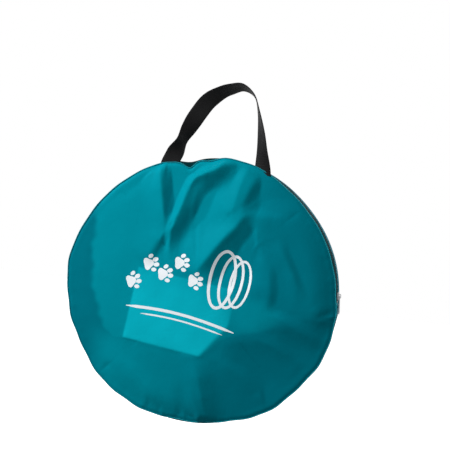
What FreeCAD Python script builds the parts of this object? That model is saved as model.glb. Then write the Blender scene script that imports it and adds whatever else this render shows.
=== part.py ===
import FreeCAD, Part
import math
import os
import Sketcher
from FreeCAD import Placement, Rotation, Vector

# A pop-up agility tunnel packed flat in its round zipped carry bag, hung by the bag's webbing handle.
# Millimetres. +Z up, +X right, the bag's front faces -Y. The origin is the underside of the webbing
# where the hand grips it. "Disc frame" below means the bag's own axes, centred on the round bag.

SIZES = [
    # bag
    ("bag_radius", 195, "radius of the front and back panels"),
    ("bag_depth", 46, "front face to back face"),
    ("panel_wall", 1.0, "front and back panel thickness"),
    ("gusset_wall", 0.9, "thickness of the side strip"),
    ("gusset_inset", 1.2, "side strip below the edge of the panels"),
    ("ear_overlap", 3, "overlap of the side strip's narrow and full parts"),
    ("cloth_gap", 0.3, "clearance between soft neighbours"),
    ("fold_height", 26, "line above the centre where the back flap folds"),
    # zip
    ("tape_width", 12, "woven tape seen on each side of the chain"),
    ("tape_wall", 0.7, "tape thickness"),
    ("chain_root", 1.9, "width of one chain half without its interlocking heads"),
    ("chain_split", 1.6, "space of the interlocked heads between the halves"),
    ("chain_height", 2.4, "chain thickness, inward from the edge of the panels"),
    ("slider_height", 15.7, "closed slider above the centre line"),
    ("slider_length", 12, "slider along the chain"),
    ("slider_wall", 1.1, "plates and flanges of the slider"),
    ("slider_gap", 0.3, "running clearance round the chain"),
    ("nose_width", 10.6, "slider width over its shoulders"),
    ("nose_start", 5, "slider plate, nose end to the start of its widening"),
    ("nose_full", 3, "slider plate, nose end to its full width"),
    ("plate_corner", 0.8, "slider plate corners"),
    ("post_length", 2.8, "post between the slider plates"),
    ("crown_length", 6.2, "bridge that holds the puller"),
    ("crown_width", 2.0, "bridge across the slider"),
    ("crown_room", 2.3, "window height under the bridge"),
    ("crown_wall", 0.9, "bridge thickness"),
    ("puller_length", 27, "crown bar to the tip"),
    ("puller_width", 8.4, "widest part of the puller"),
    ("puller_wall", 1.2, "puller thickness"),
    ("neck_length", 6, "puller from its bar to the end of its narrow part"),
    ("grip_length", 12, "full width of the puller"),
    ("tip_corner", 2.4, "puller tip corners"),
    ("tab_length", 16, "cloth tab over each end of the tape"),
    ("stop_length", 3.0, "metal stop at each end of the chain"),
    # handle
    ("web_width", 25, "webbing width"),
    ("web_wall", 1.4, "webbing thickness"),
    ("base_span", 137, "between the two sewn ends"),
    ("grip_offset", 28, "grip to the right of the bag's centre line"),
    ("grip_height", 297, "grip above the bag's centre"),
    ("tail_length", 32, "sewn end inside the bag"),
    ("seam_margin", 10, "webbing drawn this far past the seam before it is trimmed there"),
    # packed tunnel
    ("tunnel_radius", 190, "over the end hems"),
    ("bore_radius", 128, "hole through the folded skin"),
    ("hem_width", 23, "end hem"),
    ("hem_wall", 0.8, "end hem thickness"),
    ("coil_inset", 4, "wire centre inside the tunnel radius"),
    ("wire_size", 2.4, "spring wire"),
    ("coil_turns", 5, "whole turns of the spring"),
    ("ferrule_length", 18, "crimped sleeve on each wire end"),
    ("ferrule_wall", 0.5, "sleeve wall"),
    ("ferrule_gap", 0.15, "sleeve to wire"),
    ("tie_width", 20, "closing tie"),
    ("tie_wall", 0.8, "closing tie thickness"),
    ("tie_angle", 40, "ties above the centre line"),
    ("loop_width", 15, "peg loop"),
    ("loop_length", 26, "peg loop lying flat"),
    ("loop_inset", 0.5, "peg loop inside the tunnel's edge"),
    ("loop_wall", 0.8, "peg loop thickness"),
    ("loop_angle", 50, "peg loops below the centre line"),
    # loose contents
    ("leaflet_width", 148, "folded leaflet"),
    ("leaflet_height", 105, "folded leaflet"),
    ("leaflet_wall", 0.8, "folded leaflet thickness"),
    ("leaflet_turn", 6.5, "leaflet tilt, clockwise from the front"),
    ("leaflet_left", 26, "leaflet centre left of the bag's centre"),
    ("leaflet_drop", 36, "leaflet centre below the bag's centre"),
    ("pouch_width", 150, "peg pouch"),
    ("pouch_height", 58, "peg pouch at its middle"),
    ("pouch_wall", 20, "peg pouch thickness, pegs inside"),
]

doc = FreeCAD.newDocument("agility_tunnel")
sheet = doc.addObject("Spreadsheet::Sheet", "Sizes")
for row, (alias, value, note) in enumerate(SIZES, start=1):
    sheet.set(f"A{row}", note)
    sheet.set(f"B{row}", str(value))
    sheet.setAlias(f"B{row}", alias)
doc.recompute()


def size(name):
    return float(getattr(sheet, name))


def bind(text):
    """Turns words of the sheet into an expression: names in braces become sheet cells."""
    return text.replace("{", "Sizes.").replace("}", "")


# Shared places in the disc frame, as expressions of the sheet.
FRONT = "-{bag_depth} / 2"
BACK = "{bag_depth} / 2"
STRIP_OUT = "{bag_radius} - {gusset_inset}"
STRIP_IN = f"{STRIP_OUT} - {{gusset_wall}}"
SEAM_FRONT = f"{FRONT} + {{panel_wall}} + {{cloth_gap}}"
SEAM_BACK = f"{BACK} - {{panel_wall}} - {{cloth_gap}}"
CHAIN_HALF = "({chain_root} + {chain_split} / 2)"
ZIP_LINE = f"({SEAM_FRONT} + {{tape_width}} + {CHAIN_HALF})"
TAPE_OUT = f"({STRIP_OUT} - {{gusset_wall}} / 2 + {{tape_wall}} / 2)"
TAPE_BACK = f"({ZIP_LINE} + {CHAIN_HALF} + {{tape_width}})"
CHAIN_IN = "{bag_radius} - {chain_height}"
FOLD_ANGLE = "asin({fold_height} / {bag_radius})"
FLAP_ANGLE = "asin(({fold_height} + {cloth_gap}) / {bag_radius})"
SLIDER_ANGLE = "asin({slider_height} / {bag_radius})"
STOP_TOP = "({slider_height} - {slider_length} / 2 - {slider_gap})"
TAB_TOP = f"({STOP_TOP} - {{stop_length}} - {{slider_gap}})"
TAB_ANGLE = f"asin({TAB_TOP} / {{bag_radius}})"
TAPE_END = f"({TAB_TOP} - {{tab_length}} / 2)"
TAPE_ANGLE = f"asin({TAPE_END} / {{bag_radius}})"
SEAM_ANGLE = "{cloth_gap} / {bag_radius} * 1 rad"
STOP_ANGLE = f"asin({STOP_TOP} / {{bag_radius}})"
LAYER = "({web_wall} + 2 * {cloth_gap})"
TUNNEL_FRONT = f"({FRONT} + {{panel_wall}} + {LAYER})"
TUNNEL_BACK = f"({BACK} - {{panel_wall}} - 2 * {{cloth_gap}} - {{tie_wall}})"
TUNNEL_DROP = f"({STRIP_IN} - {{tunnel_radius}} - {{cloth_gap}})"

checker = doc.addObject("App::FeaturePython", "Places")


def place(text):
    """The number an expression of the sheet has now."""
    value = checker.evalExpression(bind(text))
    return float(getattr(value, "Value", value))


# ---------------------------------------------------------------- building blocks

def plane(body, role):
    return next(item for item in body.Origin.OriginFeatures if item.Role == role)


def new_body(label):
    body = doc.addObject("PartDesign::Body", label)
    body.Label = label
    return body


def new_sketch(body, name, role):
    sketch = body.newObject("Sketcher::SketchObject", f"{body.Name}_{name}")
    sketch.AttachmentSupport = [(plane(body, role), "")]
    sketch.MapMode = "FlatFace"
    return sketch


def dimension(sketch, kind, *where_and_text):
    """A driving dimension of a sketch, bound to the sheet."""
    *where, text = where_and_text
    index = sketch.addConstraint(Sketcher.Constraint(kind, *where, place(text)))
    sketch.setExpression(f"Constraints[{index}]", bind(text))


def outline(sketch, points):
    """A closed outline through points given as pairs of expressions, measured from the sketch's origin."""
    corners = [Vector(place(x), place(y), 0) for x, y in points]
    first = len(sketch.Geometry)
    count = len(corners)
    for index in range(count):
        sketch.addGeometry(Part.LineSegment(corners[index], corners[(index + 1) % count]), False)
    for index in range(count):
        sketch.addConstraint(Sketcher.Constraint("Coincident", first + index, 2, first + (index + 1) % count, 1))
    for index, (x, y) in enumerate(points):
        dimension(sketch, "DistanceX", -1, 1, first + index, 1, x)
        dimension(sketch, "DistanceY", -1, 1, first + index, 1, y)


def rectangle(sketch, left, right, low, high):
    outline(sketch, ((left, low), (right, low), (right, high), (left, high)))


def set_in_disc(thing, turn=None, drop="0", axis=Vector(0, 1, 0), back="0"):
    """Places a piece made in the disc frame, turned about the given axis first."""
    angle = place(turn) if turn else 0
    thing.Placement = Placement(Vector(0, 0, 0), Rotation(axis, angle))
    if turn:
        thing.setExpression("Placement.Rotation.Angle", bind(turn))
    thing.setExpression("Placement.Base.x", bind("-{grip_offset}"))
    thing.setExpression("Placement.Base.y", bind(f"{back} - ({STRAP_LINE})"))
    thing.setExpression("Placement.Base.z", bind(f"-{{grip_height}} - {drop}"))


STRAP_LINE = f"{FRONT} + {{panel_wall}} + {{cloth_gap}} + {{web_wall}} / 2"


def turn_about_axis(body, sketch, sweep):
    turn = body.newObject("PartDesign::Revolution", f"{sketch.Name}_turn")
    turn.Profile = sketch
    turn.ReferenceAxis = (sketch, ["V_Axis"])
    turn.Angle = place(sweep)
    turn.setExpression("Angle", bind(sweep))
    sketch.Visibility = False


def revolve(body, name, sides, sweep):
    """Turns a rectangle (inner, outer, low, high) about the disc's axis, downward from +X."""
    sketch = new_sketch(body, name, "XY_Plane")
    rectangle(sketch, *sides)
    turn_about_axis(body, sketch, sweep)
    return sketch


def ring(label, sides, start="360 deg", sweep="360 deg", drop="0"):
    """A ring or part ring round the disc's axis. It starts at an angle above +X and runs clockwise."""
    body = new_body(label)
    revolve(body, "profile", sides, sweep)
    set_in_disc(body, f"-({start})", drop)
    return body


def upper_ring(label, sides, angle):
    """The part of a ring above the line that the angle marks on both sides."""
    return ring(label, sides, f"180 deg - {angle}", f"180 deg - 2 * {angle}")


def lower_ring(label, sides, angle):
    """The part of a ring below that line."""
    return ring(label, sides, angle, f"180 deg + 2 * {angle}")


# ---------------------------------------------------------------- bag

def make_front_panel():
    body = new_body("front_panel")
    sketch = new_sketch(body, "outline", "XZ_Plane")
    sketch.addGeometry(Part.Circle(Vector(0, 0, 0), Vector(0, 0, 1), size("bag_radius")), False)
    sketch.addConstraint(Sketcher.Constraint("Coincident", 0, 3, -1, 1))
    dimension(sketch, "Radius", 0, "{bag_radius}")
    sketch.AttachmentOffset = Placement(Vector(0, 0, place("{bag_depth} / 2 - {panel_wall}")), Rotation())
    sketch.setExpression("AttachmentOffset.Base.z", bind("{bag_depth} / 2 - {panel_wall}"))
    pad = body.newObject("PartDesign::Pad", "front_panel_pad")
    pad.Profile = sketch
    pad.Length = size("panel_wall")
    pad.setExpression("Length", bind("{panel_wall}"))
    set_in_disc(body)


def back_panel_disc(name):
    disc = doc.addObject("Part::Cylinder", name)
    disc.setExpression("Radius", bind("{bag_radius}"))
    disc.setExpression("Height", bind("{panel_wall}"))
    disc.Placement = Placement(Vector(0, place(f"{BACK} - {{panel_wall}}"), 0), Rotation(Vector(1, 0, 0), -90))
    disc.setExpression("Placement.Base.y", bind(f"{BACK} - {{panel_wall}}"))
    return disc


def make_back_panel(label, low, high):
    """The back panel between two heights of the disc frame."""
    disc = back_panel_disc(f"{label}_disc")
    band = doc.addObject("Part::Box", f"{label}_band")
    band.setExpression("Length", bind("2 * {bag_radius}"))
    band.setExpression("Width", bind("{bag_depth}"))
    band.setExpression("Height", bind(f"({high}) - ({low})"))
    band.setExpression("Placement.Base.x", bind("-{bag_radius}"))
    band.setExpression("Placement.Base.z", bind(low))
    panel = doc.addObject("Part::Common", label)
    panel.Label = label
    panel.Base = disc
    panel.Tool = band
    set_in_disc(panel)


def make_gusset():
    """The side strip: full depth below the zip, with a narrow ear beside each zip end up to the fold."""
    body = lower_ring("gusset_lower", (STRIP_IN, STRIP_OUT, SEAM_FRONT, SEAM_BACK), TAPE_ANGLE)
    behind_zip = f"{TAPE_BACK} + {{cloth_gap}}"
    ear = (STRIP_IN, STRIP_OUT, behind_zip, SEAM_BACK)
    upper_ring("gusset_upper", ear, FLAP_ANGLE)
    overlap = "{ear_overlap} / {bag_radius} * 1 rad"
    for name, turn in (("ear_right", f"{TAPE_ANGLE} - {FOLD_ANGLE}"),
                       ("ear_left", f"180 deg + 2 * {TAPE_ANGLE} - {overlap}")):
        sketch = revolve(body, name, ear, f"{FOLD_ANGLE} - {TAPE_ANGLE} + {overlap}")
        sketch.AttachmentOffset = Placement(Vector(0, 0, 0), Rotation(Vector(0, 1, 0), place(turn)))
        sketch.setExpression("AttachmentOffset.Rotation.Angle", bind(turn))


# ---------------------------------------------------------------- zip

def make_zip_halves():
    """Front half whole on the bag. Back half on the flap, with its two ends below the fold on the bag."""
    front_tape = (f"{TAPE_OUT} - {{tape_wall}}", TAPE_OUT, SEAM_FRONT,
                  f"{ZIP_LINE} - {CHAIN_HALF} - {{cloth_gap}}")
    back_tape = (f"{TAPE_OUT} - {{tape_wall}}", TAPE_OUT,
                 f"{ZIP_LINE} + {CHAIN_HALF} + {{cloth_gap}}", TAPE_BACK)
    front_chain = (CHAIN_IN, "{bag_radius}",
                   f"{ZIP_LINE} - {CHAIN_HALF}", f"{ZIP_LINE} - {{chain_split}} / 2")
    back_chain = (CHAIN_IN, "{bag_radius}",
                  f"{ZIP_LINE} + {{chain_split}} / 2", f"{ZIP_LINE} + {CHAIN_HALF}")
    upper_ring("zip_tape_front", front_tape, f"({TAPE_ANGLE} + {SEAM_ANGLE})")
    upper_ring("zip_chain_front", front_chain, f"({STOP_ANGLE} + {SEAM_ANGLE})")
    upper_ring("zip_tape_back", back_tape, FLAP_ANGLE)
    upper_ring("zip_chain_back", back_chain, FLAP_ANGLE)
    tape_sweep = f"{FOLD_ANGLE} - {TAPE_ANGLE} - {SEAM_ANGLE}"
    chain_sweep = f"{FOLD_ANGLE} - {STOP_ANGLE} - {SEAM_ANGLE}"
    for side, tape_start, chain_start in (
            ("right", FOLD_ANGLE, FOLD_ANGLE),
            ("left", f"180 deg - {TAPE_ANGLE} - {SEAM_ANGLE}", f"180 deg - {STOP_ANGLE} - {SEAM_ANGLE}")):
        ring(f"zip_tape_end_{side}", back_tape, tape_start, tape_sweep)
        ring(f"zip_chain_end_{side}", back_chain, chain_start, chain_sweep)


def make_zip_ends():
    """A metal stop across the chain and a cloth tab over the tape at each end."""
    stop = (CHAIN_IN, "{bag_radius}", f"{ZIP_LINE} - {CHAIN_HALF}", f"{ZIP_LINE} + {CHAIN_HALF}")
    tab = (f"{TAPE_OUT} + {{cloth_gap}}", f"{TAPE_OUT} + {{cloth_gap}} + {{gusset_wall}}",
           SEAM_FRONT, TAPE_BACK)
    stop_sweep = "{stop_length} / {bag_radius} * 1 rad"
    tab_sweep = "{tab_length} / {bag_radius} * 1 rad"
    for side, stop_start, tab_start in (
            ("right", STOP_ANGLE, TAB_ANGLE),
            ("left", f"180 deg - {STOP_ANGLE} + {stop_sweep}", f"180 deg - {TAB_ANGLE} + {tab_sweep}")):
        ring(f"zip_stop_{side}", stop, stop_start, stop_sweep)
        ring(f"zip_tab_{side}", tab, tab_start, tab_sweep)


# ---------------------------------------------------------------- slider and puller
# Both are made at +X of the disc frame: X outward, Y across the chain, Z along it with the nose down.

PLATE_TOP = "({bag_radius} + {slider_gap} + {slider_wall})"
PIVOT = f"({PLATE_TOP} + {{crown_room}} / 2)"
TAIL_HALF = f"({CHAIN_HALF} + {{slider_gap}} + {{slider_wall}})"


def pad_outward(body, name, shapes, low, high):
    """A pad along the outward direction from one radius to another."""
    sketch = new_sketch(body, name, "YZ_Plane")
    sketch.AttachmentOffset = Placement(Vector(0, 0, place(low)), Rotation())
    sketch.setExpression("AttachmentOffset.Base.z", bind(low))
    for shape in shapes:
        outline(sketch, shape)
    pad = body.newObject("PartDesign::Pad", f"{body.Name}_{name}_pad")
    pad.Profile = sketch
    pad.Length = place(f"({high}) - ({low})")
    pad.setExpression("Length", bind(f"({high}) - ({low})"))
    sketch.Visibility = False
    doc.recompute()


def box_outline(low_y, high_y, low_z, high_z):
    return ((low_y, low_z), (high_y, low_z), (high_y, high_z), (low_y, high_z))


def mirrored_outline(half_points):
    """Points given as (half width, height), down one side of the chain and back up the other."""
    near = [(f"{ZIP_LINE} - ({width})", height) for width, height in half_points]
    far = [(f"{ZIP_LINE} + ({width})", height) for width, height in reversed(half_points)]
    return tuple(near + far)


def make_slider():
    body = new_body("zip_slider")
    half = "{slider_length} / 2"
    nose = "{nose_width} / 2"
    post_half = "({chain_split} / 2 - {slider_gap})"
    plate_under = f"({CHAIN_IN} - {{slider_gap}} - {{slider_wall}})"
    shield = mirrored_outline(((f"{TAIL_HALF} - {{plate_corner}}", half),
                               (TAIL_HALF, f"{half} - {{plate_corner}}"),
                               (TAIL_HALF, f"-{half} + {{nose_start}}"), (nose, f"-{half} + {{nose_full}}"),
                               (nose, f"-{half} + {{plate_corner}}"), (f"{nose} / 2", f"-{half}")))
    post = box_outline(f"{ZIP_LINE} - {post_half}", f"{ZIP_LINE} + {post_half}",
                       f"-{half} + {{plate_corner}}", f"-{half} + {{post_length}} + {{plate_corner}}")
    pad_outward(body, "post", (post,), plate_under, PLATE_TOP)
    pad_outward(body, "upper_plate", (shield,), "{bag_radius} + {slider_gap}", PLATE_TOP)
    pad_outward(body, "lower_plate", (shield,), plate_under, f"{CHAIN_IN} - {{slider_gap}}")
    for side, sign in (("front", "-"), ("back", "+")):
        sides = [f"{ZIP_LINE} {sign} ({CHAIN_HALF} + {{slider_gap}})", f"{ZIP_LINE} {sign} {TAIL_HALF}"]
        sides.sort(key=place)
        flange = box_outline(*sides, f"-{half} + {{nose_full}}", f"{half} - {{plate_corner}}")
        pad_outward(body, f"flange_{side}", (flange,), f"{TAPE_OUT} + {{slider_gap}}",
                    "{bag_radius} + {slider_gap} + {slider_wall} / 2")
    make_crown(body)
    set_in_disc(body, f"-({SLIDER_ANGLE})")


def crown_sketch(body, name, points):
    sketch = new_sketch(body, name, "XZ_Plane")
    sketch.AttachmentOffset = Placement(Vector(0, 0, place(f"-{ZIP_LINE}")), Rotation())
    sketch.setExpression("AttachmentOffset.Base.z", bind(f"-{ZIP_LINE}"))
    outline(sketch, points)
    sketch.Visibility = False
    return sketch


def make_crown(body):
    """The bridge over the upper plate, with the window that the puller's bar turns in."""
    half = "{crown_length} / 2"
    under = f"{PLATE_TOP} + {{crown_room}}"
    roof = f"{under} + {{crown_wall}}"
    foot = f"{PLATE_TOP} - {{slider_wall}} / 2"
    pad = body.newObject("PartDesign::Pad", "zip_slider_crown_pad")
    pad.Profile = crown_sketch(body, "crown", (
        (foot, f"-{half}"), (under, f"-{half}"), (roof, f"-{half} + {{crown_wall}}"),
        (roof, f"{half} - {{crown_wall}}"), (under, half), (foot, half)))
    pad.Length = size("crown_width")
    pad.setExpression("Length", bind("{crown_width}"))
    pad.Midplane = True
    doc.recompute()
    cut = body.newObject("PartDesign::Pocket", "zip_slider_window_cut")
    cut.Profile = crown_sketch(body, "window", box_outline(
        PLATE_TOP, under, f"-{half} + {{crown_wall}}", f"{half} - {{crown_wall}}"))
    cut.Length = size("crown_width")
    cut.setExpression("Length", bind("{crown_width} * 2"))
    cut.Midplane = True
    doc.recompute()


def make_puller():
    body = new_body("zip_puller")
    bar = "{puller_wall} / 2"
    eye_half = "({crown_width} / 2 + {slider_gap} + {puller_wall})"
    wide = "{puller_width} / 2"
    tip = f"({{puller_length}} - {bar})"
    shape = mirrored_outline(((eye_half, bar), (eye_half, "-{neck_length}"),
                              (wide, "-{puller_length} + {grip_length}"), (wide, f"-{tip} + {{tip_corner}}"),
                              (f"{wide} - {{tip_corner}} / 2", f"-{tip} + {{tip_corner}} / 4"),
                              (f"{wide} / 4", f"-{tip}")))
    slot_half = "({crown_width} / 2 + {slider_gap})"
    slot = box_outline(f"{ZIP_LINE} - {slot_half}", f"{ZIP_LINE} + {slot_half}",
                       "-{neck_length} + {crown_room}", f"-{bar}")
    pad_outward(body, "plate", (shape, slot), f"{PIVOT} - {bar}", f"{PIVOT} + {bar}")
    set_in_disc(body, f"-({SLIDER_ANGLE})")


# ---------------------------------------------------------------- handle

# Middle line of the loop, as shares of the way from each sewn end to the grip (across, up), with the
# turn of the webbing's face in degrees: 0 and 180 show its width to the front, 90 and 270 its edge.
LEFT_LEG = ((0.0, 0.0, 0), (0.05, 0.16, 5), (0.10, 0.30, 90), (0.2, 0.42, 165), (0.30, 0.54, 190),
            (0.42, 0.69, 215), (0.56, 0.84, 250), (0.80, 0.955, 270))
RIGHT_LEG = ((0.0, 0.0, 180), (0.07, 0.2, 180), (0.17, 0.40, 195), (0.25, 0.58, 225), (0.33, 0.74, 255),
             (0.50, 0.91, 270))
SECTIONS = 40


def disc_cylinder(radius):
    """A long cylinder round the disc's axis."""
    reach = size("bag_radius")
    return Part.makeCylinder(radius, 2 * reach, Vector(0, -reach, 0), Vector(0, 1, 0))


def leg_points(leg, side):
    rim = place("sqrt(({bag_radius} - {seam_margin}) ^ 2 - ({base_span} / 2) ^ 2)")
    start = Vector(side * size("base_span") / 2, 0, rim)
    top = Vector(size("grip_offset"), 0, size("grip_height") + size("web_wall") / 2)
    return [(Vector(start.x + (top.x - start.x) * across, 0, start.z + (top.z - start.z) * up), turn)
            for across, up, turn in leg]


def webbing_section(middle, along, turn):
    """A rectangle across the webbing, turned about its length."""
    side = Vector(0, 1, 0).cross(along)
    depth = Vector(0, 1, 0)
    half_wide = (side * math.cos(turn) + depth * math.sin(turn)) * (size("web_width") / 2)
    half_thick = (depth * math.cos(turn) - side * math.sin(turn)) * (size("web_wall") / 2)
    return [middle + half_wide + half_thick, middle - half_wide + half_thick,
            middle - half_wide - half_thick, middle + half_wide - half_thick]


def webbing_sections(points):
    curve = Part.BSplineCurve()
    curve.interpolate([point for point, turn in points])
    knots = [curve.parameter(point) for point, turn in points]
    span = curve.LastParameter - curve.FirstParameter
    sections = []
    for step in range(SECTIONS + 1):
        at = curve.FirstParameter + span * step / SECTIONS
        index = max(i for i in range(len(knots) - 1) if knots[i] <= at + 1e-9)
        share = (at - knots[index]) / (knots[index + 1] - knots[index])
        turn = points[index][1] + (points[index + 1][1] - points[index][1]) * share
        sections.append(webbing_section(curve.value(at), curve.tangent(at)[0], math.radians(turn)))
    return sections


def flat_face(*corners):
    return Part.Face(Part.makePolygon(list(corners) + [corners[0]]))


def skin_over(sections):
    """A solid through four-cornered sections, in flat triangles because each side of it is twisted.
    Opposite sides are divided along parallel diagonals, so that the wall keeps its thickness."""
    faces = [flat_face(*sections[0][::-1]), flat_face(*sections[-1])]
    for near, far in zip(sections, sections[1:]):
        for index in range(4):
            after = (index + 1) % 4
            side = [near[index], near[after], far[after], far[index]]
            first = 0 if index < 2 else 1
            corners = side[first:] + side[:first]
            faces.append(flat_face(*corners[:3]))
            faces.append(flat_face(corners[0], *corners[2:]))
    return Part.Solid(Part.Shell(faces))


def add_shape(label, shape, **where):
    feature = doc.addObject("Part::Feature", label)
    feature.Label = label
    feature.Shape = shape
    set_in_disc(feature, **where)


def make_handle():
    """One flat webbing loop. It starts at the rim of the front panel, where it is sewn in."""
    grip = (Vector(size("grip_offset"), 0, size("grip_height") + size("web_wall") / 2), 270)
    points = leg_points(LEFT_LEG, -1) + [grip] + leg_points(RIGHT_LEG, 1)[::-1]
    solid = skin_over(webbing_sections(points))
    solid.translate(Vector(0, place(STRAP_LINE), 0))
    add_shape("handle_webbing", solid.cut(disc_cylinder(size("bag_radius") + 2 * size("cloth_gap"))))


def make_handle_tails():
    """The sewn ends of the webbing, flat against the inside of the front panel."""
    limit = disc_cylinder(place(f"{STRIP_IN} - {{cloth_gap}}"))
    low = place(f"sqrt({{bag_radius}} ^ 2 - ({{base_span}} / 2) ^ 2) - {{tail_length}}")
    for label, side in (("handle_tail_left", -1), ("handle_tail_right", 1)):
        corner = Vector(side * size("base_span") / 2 - size("web_width") / 2,
                        place(f"{STRAP_LINE} - {{web_wall}} / 2"), low)
        blank = Part.makeBox(size("web_width"), size("web_wall"), 2 * size("tail_length"), corner)
        add_shape(label, blank.common(limit))


# ---------------------------------------------------------------- packed tunnel

def make_skin():
    """The folded fabric as one plain ring inside the spring."""
    outer = f"{COIL_RADIUS} - {SLEEVE_HALF} - {{cloth_gap}}"
    ring("tunnel_skin", ("{bore_radius}", outer, f"{TUNNEL_FRONT} + {{hem_wall}} + {{cloth_gap}}",
                         f"{TUNNEL_BACK} - {{hem_wall}} - {{cloth_gap}}"), drop=TUNNEL_DROP)


def make_hems():
    hem_in = "{tunnel_radius} - {hem_width}"
    ring("tunnel_hem_front", (hem_in, "{tunnel_radius}", TUNNEL_FRONT, f"{TUNNEL_FRONT} + {{hem_wall}}"),
         drop=TUNNEL_DROP)
    ring("tunnel_hem_back", (hem_in, "{tunnel_radius}", f"{TUNNEL_BACK} - {{hem_wall}}", TUNNEL_BACK),
         drop=TUNNEL_DROP)


# Where the middle of the wire starts and ends along the tunnel's axis.
SLEEVE_HALF = "({wire_size} / 2 + {ferrule_gap} + {ferrule_wall})"
WIRE_CLEAR = f"({{hem_wall}} + {{cloth_gap}} + {SLEEVE_HALF})"
COIL_FRONT = f"({TUNNEL_FRONT} + {WIRE_CLEAR})"
COIL_BACK = f"({TUNNEL_BACK} - {WIRE_CLEAR})"
COIL_RADIUS = "({tunnel_radius} - {coil_inset})"
PITCH = f"(({COIL_BACK} - {COIL_FRONT}) / {{coil_turns}})"


def wire_section(radius):
    """A four-sided section of the wire, so that the long coil stays light."""
    half = size("wire_size") / 2
    corners = [Vector(radius + across, 0, along) for across, along in
               ((-half, -half), (half, -half), (half, half), (-half, half), (-half, -half))]
    return Part.Wire(Part.makePolygon(corners).Edges)


def make_coil():
    """The spring: one wire wound from hem to hem."""
    radius = place(COIL_RADIUS)
    path = Part.Wire(Part.makeHelix(place(PITCH), place(f"{COIL_BACK} - {COIL_FRONT}"), radius).Edges)
    wire = path.makePipeShell([wire_section(radius)], True, True)
    add_shape("tunnel_coil", wire, turn="-90 deg", drop=TUNNEL_DROP, axis=Vector(1, 0, 0), back=COIL_FRONT)


def make_ferrules():
    """Twin sleeves that crimp each wire end to the turn beside it, so the end turns stay closed."""
    sweep = f"{{ferrule_length}} / {COIL_RADIUS} * 1 rad"
    for label, end, beside in (("coil_ferrule_front", COIL_FRONT, f"({COIL_FRONT} + {PITCH})"),
                               ("coil_ferrule_back", COIL_BACK, f"({COIL_BACK} - {PITCH})")):
        low, high = sorted((end, beside), key=place)
        bore = "({wire_size} / 2 + {ferrule_gap})"
        body = new_body(label)
        sketch = new_sketch(body, "section", "XY_Plane")
        rectangle(sketch, f"{COIL_RADIUS} - {SLEEVE_HALF}", f"{COIL_RADIUS} + {SLEEVE_HALF}",
                  f"{low} - {SLEEVE_HALF}", f"{high} + {SLEEVE_HALF}")
        for middle in (low, high):
            rectangle(sketch, f"{COIL_RADIUS} - {bore}", f"{COIL_RADIUS} + {bore}",
                      f"{middle} - {bore}", f"{middle} + {bore}")
        turn_about_axis(body, sketch, sweep)
        set_in_disc(body, f"-({sweep}) / 2", TUNNEL_DROP)


def make_ties():
    """Two cloth ties that go through the bore and round the pack to hold the spring shut."""
    out = "({tunnel_radius} + {cloth_gap})"
    bore = "(sqrt({bore_radius} ^ 2 - ({tie_width} / 2) ^ 2) - {cloth_gap})"
    front = f"({TUNNEL_FRONT} - {{cloth_gap}})"
    back = f"({TUNNEL_BACK} + {{cloth_gap}})"
    for label, turn in (("tunnel_tie_right", "-{tie_angle} * 1 deg"),
                        ("tunnel_tie_left", "-(180 - {tie_angle}) * 1 deg")):
        body = new_body(label)
        sketch = new_sketch(body, "band", "XY_Plane")
        rectangle(sketch, f"{bore} - {{tie_wall}}", f"{out} + {{tie_wall}}",
                  f"{front} - {{tie_wall}}", f"{back} + {{tie_wall}}")
        rectangle(sketch, bore, out, front, back)
        pad = body.newObject("PartDesign::Pad", f"{label}_pad")
        pad.Profile = sketch
        pad.Length = size("tie_width")
        pad.setExpression("Length", bind("{tie_width}"))
        pad.Midplane = True
        set_in_disc(body, turn, TUNNEL_DROP)


def make_peg_loops():
    """Four cloth loops on the end hems, pressed flat: two at the front, two at the back."""
    outer = "({tunnel_radius} - {loop_inset})"
    for index, (turn, low) in enumerate((
            ("{loop_angle} * 1 deg", f"{TUNNEL_FRONT} - {{cloth_gap}} - {{loop_wall}}"),
            ("(180 - {loop_angle}) * 1 deg", f"{TUNNEL_FRONT} - {{cloth_gap}} - {{loop_wall}}"),
            ("{loop_angle} * 1 deg", f"{TUNNEL_BACK} + {{cloth_gap}}"),
            ("(180 - {loop_angle}) * 1 deg", f"{TUNNEL_BACK} + {{cloth_gap}}")), start=1):
        label = f"peg_loop_{index}"
        body = new_body(label)
        sketch = new_sketch(body, "outline", "XY_Plane")
        rectangle(sketch, f"{outer} - {{loop_length}}", outer, low, f"{low} + {{loop_wall}}")
        pad = body.newObject("PartDesign::Pad", f"{label}_pad")
        pad.Profile = sketch
        pad.Length = size("loop_width")
        pad.setExpression("Length", bind("{loop_width}"))
        pad.Midplane = True
        set_in_disc(body, turn, TUNNEL_DROP)


def make_leaflet():
    """A folded leaflet between the front panel and the tunnel."""
    body = new_body("instruction_leaflet")
    sketch = new_sketch(body, "outline", "XZ_Plane")
    turn = "{leaflet_turn} * 1 deg"
    along = (f"{{leaflet_width}} / 2 * cos({turn})", f"{{leaflet_width}} / 2 * sin({turn})")
    up = (f"{{leaflet_height}} / 2 * sin({turn})", f"{{leaflet_height}} / 2 * cos({turn})")
    outline(sketch, [(f"-{{leaflet_left}} {across} {along[0]} {rise} {up[0]}",
                      f"-{{leaflet_drop}} {back} {along[1]} {rise} {up[1]}")
                     for across, back, rise in (("-", "+", "-"), ("+", "-", "-"),
                                                ("+", "-", "+"), ("-", "+", "+"))])
    inner = f"-({SEAM_FRONT}) - {{leaflet_wall}}"
    sketch.AttachmentOffset = Placement(Vector(0, 0, place(inner)), Rotation())
    sketch.setExpression("AttachmentOffset.Base.z", bind(inner))
    pad = body.newObject("PartDesign::Pad", "instruction_leaflet_pad")
    pad.Profile = sketch
    pad.Length = size("leaflet_wall")
    pad.setExpression("Length", bind("{leaflet_wall}"))
    set_in_disc(body)


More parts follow.
